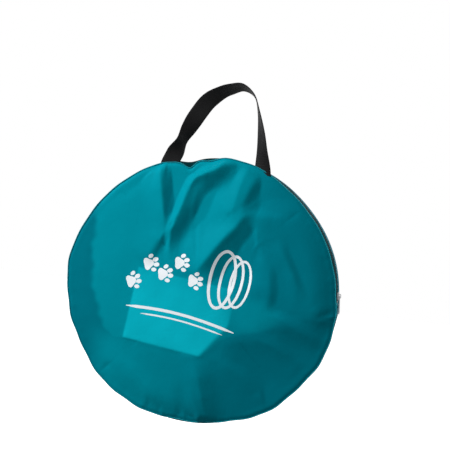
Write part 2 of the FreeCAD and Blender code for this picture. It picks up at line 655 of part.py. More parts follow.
def make_pouch():
    """The pouch with the ground pegs inside, lying in the bottom of the bore."""
    body = new_body("peg_pouch")
    sketch = new_sketch(body, "outline", "XZ_Plane")
    radius = "({bore_radius} - {cloth_gap})"
    half = "{pouch_width} / 2"
    corner_z = f"-sqrt({radius} ^ 2 - ({half}) ^ 2)"
    top_z = f"-{radius} + {{pouch_height}}"
    values = {name: place(text) for name, text in
              (("radius", radius), ("half", half), ("corner", corner_z), ("top", top_z))}
    left_low = Vector(-values["half"], values["corner"], 0)
    right_low = Vector(values["half"], values["corner"], 0)
    right_top = Vector(values["half"], values["top"], 0)
    left_top = Vector(-values["half"], values["top"], 0)
    sketch.addGeometry(Part.Arc(left_low, Vector(0, -values["radius"], 0), right_low), False)
    sketch.addGeometry(Part.LineSegment(right_low, right_top), False)
    sketch.addGeometry(Part.LineSegment(right_top, left_top), False)
    sketch.addGeometry(Part.LineSegment(left_top, left_low), False)
    sketch.addConstraint(Sketcher.Constraint("Coincident", 0, 3, -1, 1))
    sketch.addConstraint(Sketcher.Constraint("Coincident", 0, 1, 3, 2))
    sketch.addConstraint(Sketcher.Constraint("Coincident", 0, 2, 1, 1))
    sketch.addConstraint(Sketcher.Constraint("Coincident", 1, 2, 2, 1))
    sketch.addConstraint(Sketcher.Constraint("Coincident", 2, 2, 3, 1))
    sketch.addConstraint(Sketcher.Constraint("Vertical", 1))
    sketch.addConstraint(Sketcher.Constraint("Vertical", 3))
    sketch.addConstraint(Sketcher.Constraint("Horizontal", 2))
    dimension(sketch, "Radius", 0, radius)
    dimension(sketch, "DistanceX", -1, 1, 1, 2, half)
    dimension(sketch, "DistanceX", -1, 1, 2, 2, f"-{half}")
    dimension(sketch, "DistanceY", -1, 1, 1, 2, top_z)
    pad = body.newObject("PartDesign::Pad", "peg_pouch_pad")
    pad.Profile = sketch
    pad.Length = size("pouch_wall")
    pad.setExpression("Length", bind("{pouch_wall}"))
    pad.Midplane = True
    set_in_disc(body, drop=TUNNEL_DROP)


# ---------------------------------------------------------------- document

NODES = (
    "handle_webbing", "front_panel", "gusset_lower", "back_panel_lower", "back_panel_upper", "gusset_upper",
    "zip_tape_front", "zip_chain_front", "zip_tape_back", "zip_chain_back", "zip_tape_end_right",
    "zip_tape_end_left", "zip_chain_end_right", "zip_chain_end_left", "zip_stop_right", "zip_stop_left",
    "zip_tab_right", "zip_tab_left", "zip_slider", "zip_puller", "handle_tail_left", "handle_tail_right",
    "tunnel_coil", "coil_ferrule_front", "coil_ferrule_back", "tunnel_skin", "tunnel_hem_front",
    "tunnel_hem_back", "tunnel_tie_left", "tunnel_tie_right", "peg_loop_1", "peg_loop_2", "peg_loop_3",
    "peg_loop_4", "peg_pouch", "instruction_leaflet",
)


def make_all():
    make_front_panel()
    make_back_panel("back_panel_lower", "-{bag_radius} - {cloth_gap}", "{fold_height}")
    make_back_panel("back_panel_upper", "{fold_height} + {cloth_gap}", "{bag_radius} + {cloth_gap}")
    make_gusset()
    make_zip_halves()
    make_zip_ends()
    make_slider()
    make_puller()
    make_handle()
    make_handle_tails()
    make_skin()
    make_hems()
    make_coil()
    make_ferrules()
    make_ties()
    make_peg_loops()
    make_leaflet()
    make_pouch()


def check():
    """Every object must be sound before anything is written."""
    doc.recompute()
    for item in doc.Objects:
        for state in ("Invalid", "Error"):
            if state in item.State:
                raise RuntimeError(f"{item.Label} is {item.State}")
    for label in NODES:
        shape = doc.getObjectsByLabel(label)[0].Shape
        if shape.isNull() or not shape.isValid():
            raise RuntimeError(f"{label} has no sound shape")


def write():
    os.makedirs("parts", exist_ok=True)
    for label in NODES:
        shape = doc.getObjectsByLabel(label)[0].Shape
        shape.exportStep(os.path.join("parts", f"{label}.step"))
        box = shape.BoundBox
        print(f"{label:22} {len(shape.Solids)} solid {shape.Volume:12.1f} mm3  "
              f"x {box.XMin:8.1f} {box.XMax:8.1f}  y {box.YMin:7.1f} {box.YMax:7.1f}  "
              f"z {box.ZMin:8.1f} {box.ZMax:8.1f}")


make_all()
check()
write()
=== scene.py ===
"""A pop-up agility tunnel packed flat in its round zipped carry bag, hanging from its webbing handle."""
import math

import bpy
import numpy as np
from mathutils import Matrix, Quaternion, Vector
from mathutils.bvhtree import BVHTree


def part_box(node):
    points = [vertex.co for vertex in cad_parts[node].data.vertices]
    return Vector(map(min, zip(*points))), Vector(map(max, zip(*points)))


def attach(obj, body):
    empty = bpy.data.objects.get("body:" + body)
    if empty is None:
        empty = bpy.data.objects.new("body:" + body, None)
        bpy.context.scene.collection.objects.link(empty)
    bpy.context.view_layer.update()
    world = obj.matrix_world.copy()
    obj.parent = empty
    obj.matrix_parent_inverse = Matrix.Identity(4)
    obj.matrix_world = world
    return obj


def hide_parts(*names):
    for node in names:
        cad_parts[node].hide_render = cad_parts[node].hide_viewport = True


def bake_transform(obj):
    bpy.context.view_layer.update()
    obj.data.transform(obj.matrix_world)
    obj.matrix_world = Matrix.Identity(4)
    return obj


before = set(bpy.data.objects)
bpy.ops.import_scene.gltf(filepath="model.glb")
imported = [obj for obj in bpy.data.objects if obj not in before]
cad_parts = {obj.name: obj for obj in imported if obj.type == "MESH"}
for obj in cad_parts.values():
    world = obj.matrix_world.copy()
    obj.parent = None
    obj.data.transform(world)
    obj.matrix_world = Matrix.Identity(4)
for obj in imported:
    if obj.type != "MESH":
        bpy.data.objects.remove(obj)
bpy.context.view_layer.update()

MM = 0.001

# The round bag: its middle, radius and faces in millimetres, from the fixed frame.
_low, _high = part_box("front_panel")
CENTRE_X = (_low.x + _high.x) / 2 / MM
CENTRE_Z = (_low.z + _high.z) / 2 / MM
RADIUS = (_high.x - _low.x) / 2 / MM
FRONT = _low.y / MM
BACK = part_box("back_panel_lower")[1].y / MM
CHAIN_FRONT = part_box("zip_chain_front")[0].y / MM
CHAIN_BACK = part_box("zip_chain_back")[1].y / MM
TAPE_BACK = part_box("zip_tape_back")[1].y / MM
STOP_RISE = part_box("zip_stop_right")[1].z / MM - CENTRE_Z
TUNNEL_LOW, TUNNEL_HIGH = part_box("tunnel_hem_front")[0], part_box("tunnel_hem_back")[1]
TUNNEL_RADIUS = (TUNNEL_HIGH.x - TUNNEL_LOW.x) / 2 / MM
TUNNEL_RISE = (TUNNEL_HIGH.z + TUNNEL_LOW.z) / 2 / MM - CENTRE_Z

# Thicknesses of the cloths, in millimetres. The tape's twill is the heavier of the two.
BAG_CLOTH_THICK = 0.5
ZIP_TAPE_THICK = 0.6


# ---------------------------------------------------------------- camera

# Lens and sensor in millimetres, then in metres how wide a view it has at the bag, and how far its middle
# is to the right of the bag's and above it.
LENS, SENSOR = 85, 36
VIEW_WIDTH, VIEW_ASIDE, VIEW_ABOVE = 0.655, 0.0310, 0.095
VIEW_TURN, VIEW_ROLL = math.radians(9.5), math.radians(6.5)


def make_camera():
    """Eye level with the bag and a little to its right, held slightly tilted."""
    aim = Vector((CENTRE_X, (FRONT + BACK) / 2, CENTRE_Z)) * MM
    back = Vector((math.sin(VIEW_TURN), -math.cos(VIEW_TURN), 0.0))
    camera = bpy.data.objects.new("camera", bpy.data.cameras.new("camera"))
    camera.data.lens, camera.data.sensor_width, camera.data.clip_end = LENS, SENSOR, 20
    camera.rotation_mode = "QUATERNION"
    camera.rotation_quaternion = (-back).to_track_quat("-Z", "Y") @ Quaternion((0, 0, 1), VIEW_ROLL)
    side, up = (camera.rotation_quaternion @ Vector(way) for way in ((1, 0, 0), (0, 1, 0)))
    camera.location = aim + back * VIEW_WIDTH * LENS / SENSOR + side * VIEW_ASIDE + up * VIEW_ABOVE
    bpy.context.scene.collection.objects.link(camera)
    bpy.context.scene.camera = camera


make_camera()


# ---------------------------------------------------------------- materials

def srgb(code):
    """A hex sRGB colour as linear RGBA."""
    parts = [int(code[i:i + 2], 16) / 255 for i in (1, 3, 5)]
    return tuple(p / 12.92 if p <= 0.04045 else ((p + 0.055) / 1.055) ** 2.4 for p in parts) + (1.0,)


def add_node(tree, kind, inputs=None, **settings):
    """One node with its settings. An input that is a socket is linked, and any other is set."""
    node = tree.nodes.new(kind)
    for name, value in settings.items():
        setattr(node, name, value)
    for name, value in (inputs or {}).items():
        if isinstance(value, bpy.types.NodeSocket):
            tree.links.new(value, node.inputs[name])
        else:
            node.inputs[name].default_value = value
    return node


def new_material(name):
    """A material with an empty tree, and the place on the piece that its patterns follow."""
    material = bpy.data.materials.new(name)
    material.use_nodes = True
    tree = material.node_tree
    tree.nodes.clear()
    return material, tree, add_node(tree, "ShaderNodeTexCoord").outputs["Object"]


def surface(tree, inputs):
    """Ends a material: what the light does on its surface."""
    shader = add_node(tree, "ShaderNodeBsdfPrincipled", inputs)
    add_node(tree, "ShaderNodeOutputMaterial", {"Surface": shader.outputs["BSDF"]})


def two_tones(tree, base, shade, pattern, wear, dullness, relief, depth_mm, more):
    """A surface whose colour and relief follow one pattern, and whose dullness follows another."""
    colour = add_node(tree, "ShaderNodeMix", {0: pattern, 6: srgb(shade), 7: srgb(base)}, data_type="RGBA")
    least, most = dullness
    polish = add_node(tree, "ShaderNodeMapRange", {"Value": wear, "To Min": least, "To Max": most})
    depth = depth_mm * MM
    bump = add_node(tree, "ShaderNodeBump", {"Height": pattern, "Strength": relief, "Distance": depth})
    surface(tree, {"Base Color": colour.outputs[2], "Roughness": polish.outputs["Result"],
                   "Normal": bump.outputs["Normal"], **more})


def per_mm(mm):
    """A noise pattern's scale for one grain every so many millimetres."""
    return 1000 / mm


def waves_every(mm):
    """The wave pattern's scale for one band every so many millimetres."""
    return 1000 * math.pi / 10 / mm


def woven_cloth(name, base, shade, thread_mm, rough, sheen, crinkle_mm=14.0, crinkle=0.25, over=()):
    """Plain weave of filament yarn. The eye gets a soft satin light on the folds, a faint thread grid,
    and small crinkles that never quite press out. The real thread is finer than the grid drawn here.
    over holds (point value, colour with it at 0 or None, colour with it at 1 or None)."""
    material, tree, place = new_material(name)
    warp, weft = (add_node(tree, "ShaderNodeTexWave", {"Vector": place, "Scale": waves_every(thread_mm),
                  "Distortion": 0.6, "Detail": 1.0}, bands_direction=way).outputs["Fac"] for way in "XZ")
    weave = add_node(tree, "ShaderNodeMath", {0: warp, 1: weft}, operation="MULTIPLY").outputs["Value"]
    mottle = add_node(tree, "ShaderNodeTexNoise",
                      {"Vector": place, "Scale": per_mm(60), "Detail": 3.0}).outputs["Fac"]
    creases = add_node(tree, "ShaderNodeTexNoise", {"Vector": place, "Scale": per_mm(crinkle_mm),
                       "Detail": 4.0, "Roughness": 0.55, "Distortion": 0.6}).outputs["Fac"]
    tone = add_node(tree, "ShaderNodeMath", {0: mottle, 1: weave, 2: 0.25}, operation="MULTIPLY_ADD")
    colour = add_node(tree, "ShaderNodeMix", {0: tone.outputs["Value"], 6: srgb(shade), 7: srgb(base)},
                      data_type="RGBA").outputs[2]
    for value, without, having in over:
        seen = add_node(tree, "ShaderNodeAttribute", attribute_name=value).outputs["Fac"]
        colour = add_node(tree, "ShaderNodeMix", {0: seen, 6: srgb(without) if without else colour,
                          7: srgb(having) if having else colour}, data_type="RGBA").outputs[2]
    polish = add_node(tree, "ShaderNodeMapRange",
                      {"Value": mottle, "To Min": rough - 0.05, "To Max": rough + 0.07})
    threads = add_node(tree, "ShaderNodeBump", {"Height": weave, "Strength": 0.25, "Distance": 0.1 * MM})
    bump = add_node(tree, "ShaderNodeBump", {"Height": creases, "Strength": crinkle, "Distance": 1.6 * MM,
                    "Normal": threads.outputs["Normal"]})
    surface(tree, {"Base Color": colour, "Roughness": polish.outputs["Result"],
                   "Normal": bump.outputs["Normal"], "Sheen Weight": sheen, "Sheen Roughness": 0.5,
                   "Sheen Tint": srgb(base), "Specular IOR Level": 0.04, "Specular Tint": srgb(base)})
    return material


def ribbed_webbing(name, base, shade, rib_mm, rough):
    """Flat woven polypropylene: close crosswise ribs, with a dull plastic shine along them."""
    material, tree, place = new_material(name)
    along, across = (add_node(tree, "ShaderNodeAttribute", attribute_name=value).outputs["Fac"]
                     for value in ("along", "across"))
    run = add_node(tree, "ShaderNodeCombineXYZ", {"X": along, "Y": across}).outputs["Vector"]
    ribs, yarns = (add_node(tree, "ShaderNodeTexWave", {"Vector": run, "Scale": waves_every(mm),
                   "Distortion": bend, "Detail": 1.0}, bands_direction=way).outputs["Fac"]
                   for way, mm, bend in (("X", rib_mm, 0.4), ("Y", 1.6, 0.3)))
    weave = add_node(tree, "ShaderNodeMath", {0: ribs, 1: yarns}, operation="MULTIPLY").outputs["Value"]
    lint = add_node(tree, "ShaderNodeTexNoise", {"Vector": place, "Scale": per_mm(9), "Detail": 3.0})
    two_tones(tree, base, shade, weave, lint.outputs["Fac"], (rough - 0.06, rough + 0.08), 0.6, 0.3,
              {"Specular IOR Level": 0.12})
    return material


def cast_metal(name, base, worn, rough, grain_mm):
    """Plated or drawn metal: bright along its edges, with fine rubbing marks and duller hollows."""
    material, tree, place = new_material(name)
    rub = add_node(tree, "ShaderNodeTexNoise", {"Vector": place, "Scale": per_mm(grain_mm), "Detail": 5.0,
                   "Roughness": 0.6}).outputs["Fac"]
    two_tones(tree, base, worn, rub, rub, (rough - 0.06, rough + 0.1), 0.15, 0.05, {"Metallic": 1.0})
    return material


def plain_plastic(name, base, shade, rough, grain_mm, shine=0.5, glow=0.0):
    """Drawn nylon, ink or paper: an even colour with a fine tooth in its surface."""
    material, tree, place = new_material(name)
    grain = add_node(tree, "ShaderNodeTexNoise",
                     {"Vector": place, "Scale": per_mm(grain_mm), "Detail": 3.0}).outputs["Fac"]
    # glow makes the surface give off light in its own colour: painted light
    two_tones(tree, base, shade, grain, grain, (rough - 0.05, rough + 0.08), 0.2, 0.1,
              {"Specular IOR Level": shine, "Emission Color": srgb(base), "Emission Strength": glow})
    return material


# Calendered polyester: a satin light and soft crinkles. Real threads are 0.3 mm apart, too fine to show,
# so they are drawn every 1.2 mm.
BAG_CLOTH = woven_cloth("woven_polyester_teal", "#008497", "#007385", 1.2, 0.5, 0.1)
# The front is thin, and paler on white paper. Off the stack it takes a darker tone: partly the thin cloth with
# nothing behind it, partly painted shade where the cloth turns from the light.
FRONT_CLOTH = woven_cloth("woven_polyester_teal_thin_over_the_stack", "#02A0B3", "#008D9F", 1.2, 0.5, 0.1,
                          over=(("pressed", "#00788A", None), ("paper_behind", None, "#0AC4D8")))
# The coating inside fills the weave, so it is duller.
LINING = woven_cloth("coated_inside_of_polyester", "#0A8C9B", "#066E7C", 1.2, 0.6, 0.05)
# The tunnel's thin coated cloth crumples crisply and shines a little. Its 0.25 mm threads are drawn every
# 1 mm to show.
TUNNEL_CLOTH = woven_cloth("thin_coated_polyester_teal", "#0A93A4", "#067787", 1.0, 0.38, 0.1, 9.0, 0.5)
# Folded and pressed double, so darker and firmer.
HEM_CLOTH = woven_cloth("folded_polyester_hem", "#087786", "#05606E", 1.2, 0.5, 0.1, 10.0, 0.4)
# Dyed black and soft, with rounded wrinkles.
POUCH_CLOTH = woven_cloth("plain_black_polyester", "#1C1E20", "#101112", 1.0, 0.5, 0.1, 12.0, 0.5)
# Dense twill, flat and dull. Its dark tone is painted shade of the narrow strip between the seams.
ZIP_TWILL = woven_cloth("twill_zip_tape", "#083F45", "#042327", 1.0, 0.7, 0.0, 20.0, 0.1)
# A scrap of the bag's cloth folded over, with tight small creases.
TAB_CLOTH = woven_cloth("folded_polyester_tab", "#0A94A3", "#067888", 1.0, 0.5, 0.1, 8.0, 0.3)
# The seam's roll is drawn paler than the cloth: a painted highlight along the edge.
SEAM_CLOTH = woven_cloth("seam_edge_painted_highlight", "#2AA3B0", "#158C9B", 1.2, 0.4, 0.0, 6.0, 0.3)
# Woven flat on a loom: ribs across it. They are drawn at 2.4 and 1.6 mm, coarser than real ones, to show.
WEBBING = ribbed_webbing("woven_polypropylene_webbing", "#151517", "#060607", 2.4, 0.55)
TIE_TAPE = ribbed_webbing("thin_woven_tape", "#242427", "#0C0C0D", 1.6, 0.5)
# Drawn nylon, wound to a coil: even, and dark with the same painted shade as the tape.
COIL_NYLON = plain_plastic("drawn_nylon_zip_coil", "#06363C", "#042327", 0.6, 3.0, 0.0)
# Spun polyester, glossy where it lies in stitches.
THREAD_TEAL = plain_plastic("polyester_thread_teal", "#0C8E9C", "#08707D", 0.5, 1.0)
# Opaque white ink pressed through a screen. It glows a little in its own colour, painted light that keeps it
# white in the folds' shade.
INK = plain_plastic("screen_print_ink", "#F6FBFF", "#E9F2F8", 0.55, 4.0, glow=0.12)
# Uncoated paper is matt, with a soft tooth.
PAPER = plain_plastic("uncoated_paper", "#EEF0EC", "#DEE1DC", 0.7, 6.0)
# Nickel plate over die-cast zinc: soft bright edges, and faint rubbing from the hand.
ZIP_METAL = cast_metal("nickel_plated_zinc", "#A4A6A9", "#6E7073", 0.28, 0.6)
# Drawn wire has fine marks along it and a grey bloom.
SPRING_STEEL = cast_metal("drawn_spring_steel", "#8E9094", "#5E6064", 0.34, 0.8)
# Crimped with a tool, which leaves it satin.
FERRULE_METAL = cast_metal("crimped_aluminium", "#C9CBCE", "#8F9194", 0.42, 0.7)


# ---------------------------------------------------------------- building blocks

def to_frame(points):
    """Points (across, depth, rise) of the bag in millimetres, as metres of the fixed frame."""
    points = np.asarray(points, float)
    return (points + np.array((CENTRE_X, 0.0, CENTRE_Z))) * MM


def piece(name, points, faces, material, body=None, slot=None, replaces=()):
    """A smooth mesh in the frame, riding on its body."""
    mesh = bpy.data.meshes.new(name)
    mesh.from_pydata([tuple(p) for p in to_frame(points)], [], [tuple(int(i) for i in f) for f in faces])
    mesh.validate()
    mesh.polygons.foreach_set("use_smooth", [True] * len(mesh.polygons))
    mesh.materials.append(material)
    mesh.update()
    made = bpy.data.objects.new(name, mesh)
    bpy.context.scene.collection.objects.link(made)
    if body:
        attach(made, body)
    if replaces:
        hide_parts(*replaces)
    return made


def grid_faces(rows, columns, close_rows=False, close_columns=False, start=0):
    """Quads over a grid of points that are numbered row by row."""
    index = np.arange(rows * columns).reshape(rows, columns) + start
    if close_rows:
        index = np.vstack([index, index[:1]])
    if close_columns:
        index = np.hstack([index, index[:, :1]])
    return np.stack([index[:-1, :-1], index[1:, :-1], index[1:, 1:], index[:-1, 1:]], -1).reshape(-1, 4)


def ring_faces(rows, sides, closed=False, start=0):
    """Faces over rings of points. An open tube is capped at both ends."""
    faces = list(grid_faces(rows, sides, close_rows=closed, close_columns=True, start=start))
    if not closed:
        faces.append(tuple(range(start, start + sides))[::-1])
        faces.append(tuple(range(start + (rows - 1) * sides, start + rows * sides)))
    return faces


def thicken(made, thickness, offset=-1.0):
    """Gives a sheet its real thickness in millimetres."""
    wall = made.modifiers.new("thickness", "SOLIDIFY")
    wall.thickness = thickness * MM
    wall.offset = offset
    return wall


def line_inside(made):
    """The bag's cloth is coated, which shows on its inner face."""
    made.data.materials.append(LINING)
    thicken(made, BAG_CLOTH_THICK).material_offset = 1


def keep_values(made, name, values):
    """Stores one value per point, for a material to read."""
    attribute = made.data.attributes.new(name, "FLOAT", "POINT")
    attribute.data.foreach_set("value", values.astype(np.float32))


def ease(low, high, value):
    """A soft step: 0 up to low, 1 from high."""
    share = np.clip((value - low) / (high - low), 0, 1)
    return share * share * (3 - 2 * share)


def turned(x, z, angle):
    """A flat place turned about the origin."""
    c, s = math.cos(angle), math.sin(angle)
    return x * c - z * s, x * s + z * c


def round_middle(radius, angle, depth, rise=0.0):
    """Points at a radius and a direction round the bag's middle, at a depth."""
    return np.stack(np.broadcast_arrays(radius * np.cos(angle), depth, radius * np.sin(angle) + rise), -1)


def smooth_path(points, count):
    """A smooth line through points of any dimension, evenly stepped by point."""
    points = np.asarray(points, float)
    padded = np.vstack([2 * points[0] - points[1], points, 2 * points[-1] - points[-2]])
    at = np.linspace(0, len(points) - 1 - 1e-9, count)
    base = at.astype(int)
    t = (at - base)[:, None]
    p0, p1, p2, p3 = (padded[base + k] for k in range(4))
    return 0.5 * (2 * p1 + (p2 - p0) * t + (2 * p0 - 5 * p1 + 4 * p2 - p3) * t ** 2
                  + (3 * p1 - p0 - 3 * p2 + p3) * t ** 3)


def tube_points(path, radius, sides, closed=False):
    """Rings of points round a path."""
    path = np.asarray(path, float)
    ahead = np.roll(path, -1, 0) - np.roll(path, 1, 0)
    if not closed:
        ahead[0], ahead[-1] = path[1] - path[0], path[-1] - path[-2]
    ahead /= np.linalg.norm(ahead, axis=1)[:, None]
    normal = np.zeros_like(path)
    guess = np.array((0.0, 1.0, 0.0)) if abs(ahead[0][1]) < 0.9 else np.array((1.0, 0.0, 0.0))
    for index, direction in enumerate(ahead):
        guess = guess - direction * (guess @ direction)
        guess /= np.linalg.norm(guess)
        normal[index] = guess
    other = np.cross(ahead, normal)
    angles = np.arange(sides) * 2 * math.pi / sides
    radius = np.broadcast_to(np.asarray(radius, float), (len(path),))[:, None, None]
    rings = path[:, None, :] + radius * (normal[:, None, :] * np.cos(angles)[None, :, None]
                                         + other[:, None, :] * np.sin(angles)[None, :, None])
    return rings.reshape(-1, 3)


def tube(name, path, radius, sides, material, closed=False, **where):
    """A round wire or roll along a path."""
    points = tube_points(path, radius, sides, closed)
    return piece(name, points, ring_faces(len(path), sides, closed), material, **where)


STITCH_PITCH, STITCH_LENGTH, STITCH_RADIUS = 3.2, 2.3, 0.28


def stitches(name, path, material, **where):
    """A row of lockstitch: short raised dashes of thread lying on the cloth."""
    run = np.concatenate([[0], np.cumsum(np.linalg.norm(np.diff(path, axis=0), axis=1))])
    points, faces = [], []
    shares = np.array((0.0, 0.15, 0.5, 0.85, 1.0))
    radii = np.array((0.3, 0.85, 1.0, 0.85, 0.3)) * STITCH_RADIUS
    for start in np.arange(0, run[-1] - STITCH_LENGTH, STITCH_PITCH):
        at = start + shares * STITCH_LENGTH
        line = np.stack([np.interp(at, run, path[:, k]) for k in range(3)], 1)
        faces.extend(ring_faces(5, 5, start=len(points)))
        points.extend(tube_points(line, radii, 5))
    return piece(name, np.array(points), faces, material, **where)


# ---------------------------------------------------------------- outline of the bag

def bump_at(angle, middle, width):
    """A smooth bump round a direction, in degrees, with no step where the circle closes."""
    away = (np.degrees(angle) - middle + 180) % 360 - 180
    return np.exp(-(away / width) ** 2)


# Bumps of the front seam: direction and width in degrees, and height in millimetres. First the notch between
# the handle's ends and the cloth beside it, then the left side, the bottom and the right side.
SEAM_BUMPS = ((101.7, 3.6, -14.0), (93.5, 5, -6.0), (84, 6, 1.1), (108, 4.5, -3.8), (72, 10, 3.0),
              (116, 7, -0.7), (166, 15, 2.2), (178, 10, 2.0), (207, 9, -1.2), (236, 10, 0.6),
              (283, 12, -5.4), (262, 12, -4.0), (320, 16, -1.6), (4, 6, -2.0), (16, 20, -4.0),
              (40, 14, -2.5), (58, 10, -1.5))


def front_rim(angle):
    """Radius of the front seam. It hangs wider than tall, and is drawn in between the handle's ends."""
    out = 3.0 * np.cos(2 * (angle + math.radians(14)))
    for middle, width, height in SEAM_BUMPS:
        out = out + height * bump_at(angle, middle, width)
    scallops = 0.7 * np.sin(13 * angle + 0.6) + 0.45 * np.sin(29 * angle + 2.1)
    return RADIUS + out + scallops * (1 - 0.6 * ease(0.0, 0.3, np.sin(angle)))


def top_dip(angle):
    """How far the zip and the back edge sink with the front seam at the notch, as the coil lets them."""
    return 7.2 * bump_at(angle, 101.7, 6) + 2.0 * bump_at(angle, 92, 6) + 1.8 * bump_at(angle, 45, 18)


def back_rim(angle):
    """Radius of the back seam. Above the fold the zip keeps it round."""
    loose = 1 - ease(-0.05, 0.12, np.sin(angle))
    out = 2.4 * np.cos(2 * (angle + math.radians(14))) - 3.4 * bump_at(angle, 322, 30)
    return RADIUS - 0.4 + loose * (out + 0.6 * np.sin(17 * angle + 1.0)) - top_dip(angle)


def round_sheet_grid(cells, rim_at):
    """A square grid pressed into a round sheet. Gives each point's place, its direction, the radius it has
    and the radius of the rim there, and the faces."""
    side = np.linspace(-1, 1, cells + 1)
    a, b = np.meshgrid(side, side, indexing="ij")
    wide = np.abs(a) > np.abs(b)
    safe_a, safe_b = np.where(a == 0, 1e-9, a), np.where(b == 0, 1e-9, b)
    share = np.where(wide, a, b)
    angle = np.where(wide, math.pi / 4 * b / safe_a, math.pi / 2 - math.pi / 4 * a / safe_b)
    angle = (np.where(share < 0, angle + math.pi, angle) % (2 * math.pi)).ravel()
    rim = rim_at(angle)
    radius = np.abs(share).ravel() * rim
    across, rise = radius * np.cos(angle), radius * np.sin(angle)
    return across, rise, angle, radius, rim, grid_faces(cells + 1, cells + 1)


# ---------------------------------------------------------------- folds of the front panel

def beside_path(across, rise, path):
    """Signed distance to a path (right of its direction is positive), and the share of its length."""
    line = smooth_path(path, 40)
    best = np.full(across.shape, 1e9)
    signed = np.zeros(across.shape)
    share = np.zeros(across.shape)
    for index in range(len(line) - 1):
        (x0, z0), (x1, z1) = line[index][:2], line[index + 1][:2]
        dx, dz = x1 - x0, z1 - z0
        t = np.clip(((across - x0) * dx + (rise - z0) * dz) / (dx * dx + dz * dz), 0, 1)
        ex, ez = across - x0 - t * dx, rise - z0 - t * dz
        gap = np.hypot(ex, ez)
        nearer = gap < best
        best = np.where(nearer, gap, best)
        signed = np.where(nearer, np.sign(ex * dz - ez * dx) * gap, signed)
        share = np.where(nearer, (index + t) / (len(line) - 1), share)
    return signed, share


def fold(across, rise, path, profile, heights, widths):
    """A crease. The profile is (distance right of the path, height), scaled along the path."""
    signed, share = beside_path(across, rise, path)
    scale = np.interp(share, np.linspace(0, 1, len(heights)), heights)
    width = np.interp(share, np.linspace(0, 1, len(widths)), widths)
    places, levels = zip(*profile)
    return scale * np.interp(signed / width, places, levels)


LEAFLET_LOW, LEAFLET_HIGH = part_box("instruction_leaflet")
LEAFLET_TURN = math.radians(-6.5)
LEAFLET_MIDDLE = ((LEAFLET_LOW.x + LEAFLET_HIGH.x) / 2 / MM - CENTRE_X,
                  (LEAFLET_LOW.z + LEAFLET_HIGH.z) / 2 / MM - CENTRE_Z)
LEAFLET_WIDTH, LEAFLET_HEIGHT = 148.0, 105.0


def inside_leaflet(across, rise):
    """How far inside the leaflet's edge, in millimetres. Outside is negative."""
    x, z = turned(across - LEAFLET_MIDDLE[0], rise - LEAFLET_MIDDLE[1], -LEAFLET_TURN)
    return np.minimum(LEAFLET_WIDTH / 2 - np.abs(x), LEAFLET_HEIGHT / 2 - np.abs(z))


def paper_shows(across, rise):
    """Where the thin cloth is pressed on the white leaflet and looks paler."""
    pressed = ease(-0.5, 2.5, inside_leaflet(across, rise))
    corner = ease(-3, 4, beyond_fold(across, rise))
    side = ease(22, 66, across + 0.2 * rise)
    upper = ease(-40, 30, rise + 0.25 * across)
    uneven = 0.93 + 0.07 * np.sin(across / 9 + 1.2 * np.sin(rise / 14)) * np.sin(rise / 8 - across / 21)
    return pressed * (1 - 0.95 * corner) * (1 - 0.8 * side) * (0.95 - 0.5 * upper) * uneven


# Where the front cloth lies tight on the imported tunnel: the edge runs down the left side, then to the right.
STACK_EDGE = ((-164, 124), (-167, 78), (-165, 28), (-156, -21), (-141, -56), (-122, -82), (-104, -81),
              (-48, -89), (3, -97), (20, -84), (36, -68), (76, -52), (115, -36), (158, -16), (196, -12))


def beyond_fold(across, rise):
    """How far a place is past the slanting fold that covers the leaflet's lower right corner."""
    return 0.79 * (across - 5) - 0.61 * (rise + 97)


def stack_backing_and_painted_light(across, rise):
    """Where the thin cloth keeps its paler tone: partly where it is pressed on the cloth behind it, which sends
    back more light, and partly painted light. Everywhere else takes the darker tone, partly painted shade.
    """
    outside, _ = beside_path(across, rise, STACK_EDGE)
    outside = outside + 1.8 * np.sin(rise / 8 + across / 23) + 1.1 * np.sin(rise / 3.4 - across / 11)
    # painted shade: the right part, which turns from the light, takes the darker tone, all but a round patch
    # beside the paper
    beside_paper = ease(46, 14, np.hypot((across - 72) * 0.8, (rise + 26) * 1.3))
    free = ease(8, 90, across - 0.1 * rise) * (1 - 0.85 * beside_paper)
    tight = ease(4.0, -6.0, outside) * (1 - 0.85 * free)
    # painted light: a patch low on the left keeps the paler tone
    painted_light_low_left = ease(90, -120, across) * ease(-168, -122, across) * ease(-50, -96, rise)
    return np.maximum(tight, painted_light_low_left)


def lower_of(first, second):
    """The lower of two slopes, rounded off by 0.4 mm where they meet."""
    return (first + second - np.hypot(first - second, 0.8)) / 2


def over_the_stack(across, rise):
    """The flat stack holds the cloth forward, most at the bottom. Outside its edge the cloth slopes back."""
    height = 4.6 + 0.020 * (0.6 * across - 0.8 * rise)
    for x, z, out_x, out_z, slope in ((-166, 60, -1.0, 0.0, 0.12), (-153, -14, -0.965, -0.26, 0.11),
                                      (-122, -82, -0.8, -0.6, 0.06), (-48, -89, -0.148, -0.989, 0.055)):
        height = lower_of(height, 6.2 - slope * (out_x * (across - x) + out_z * (rise - z)))
    corner = 6.6 - 0.10 * (0.66 * (across - 4) - 0.75 * (rise + 96))
    right = 7.4 - 0.19 * (0.37 * (across - 76) - 0.93 * (rise + 52))
    return lower_of(height, -lower_of(-corner, -right))


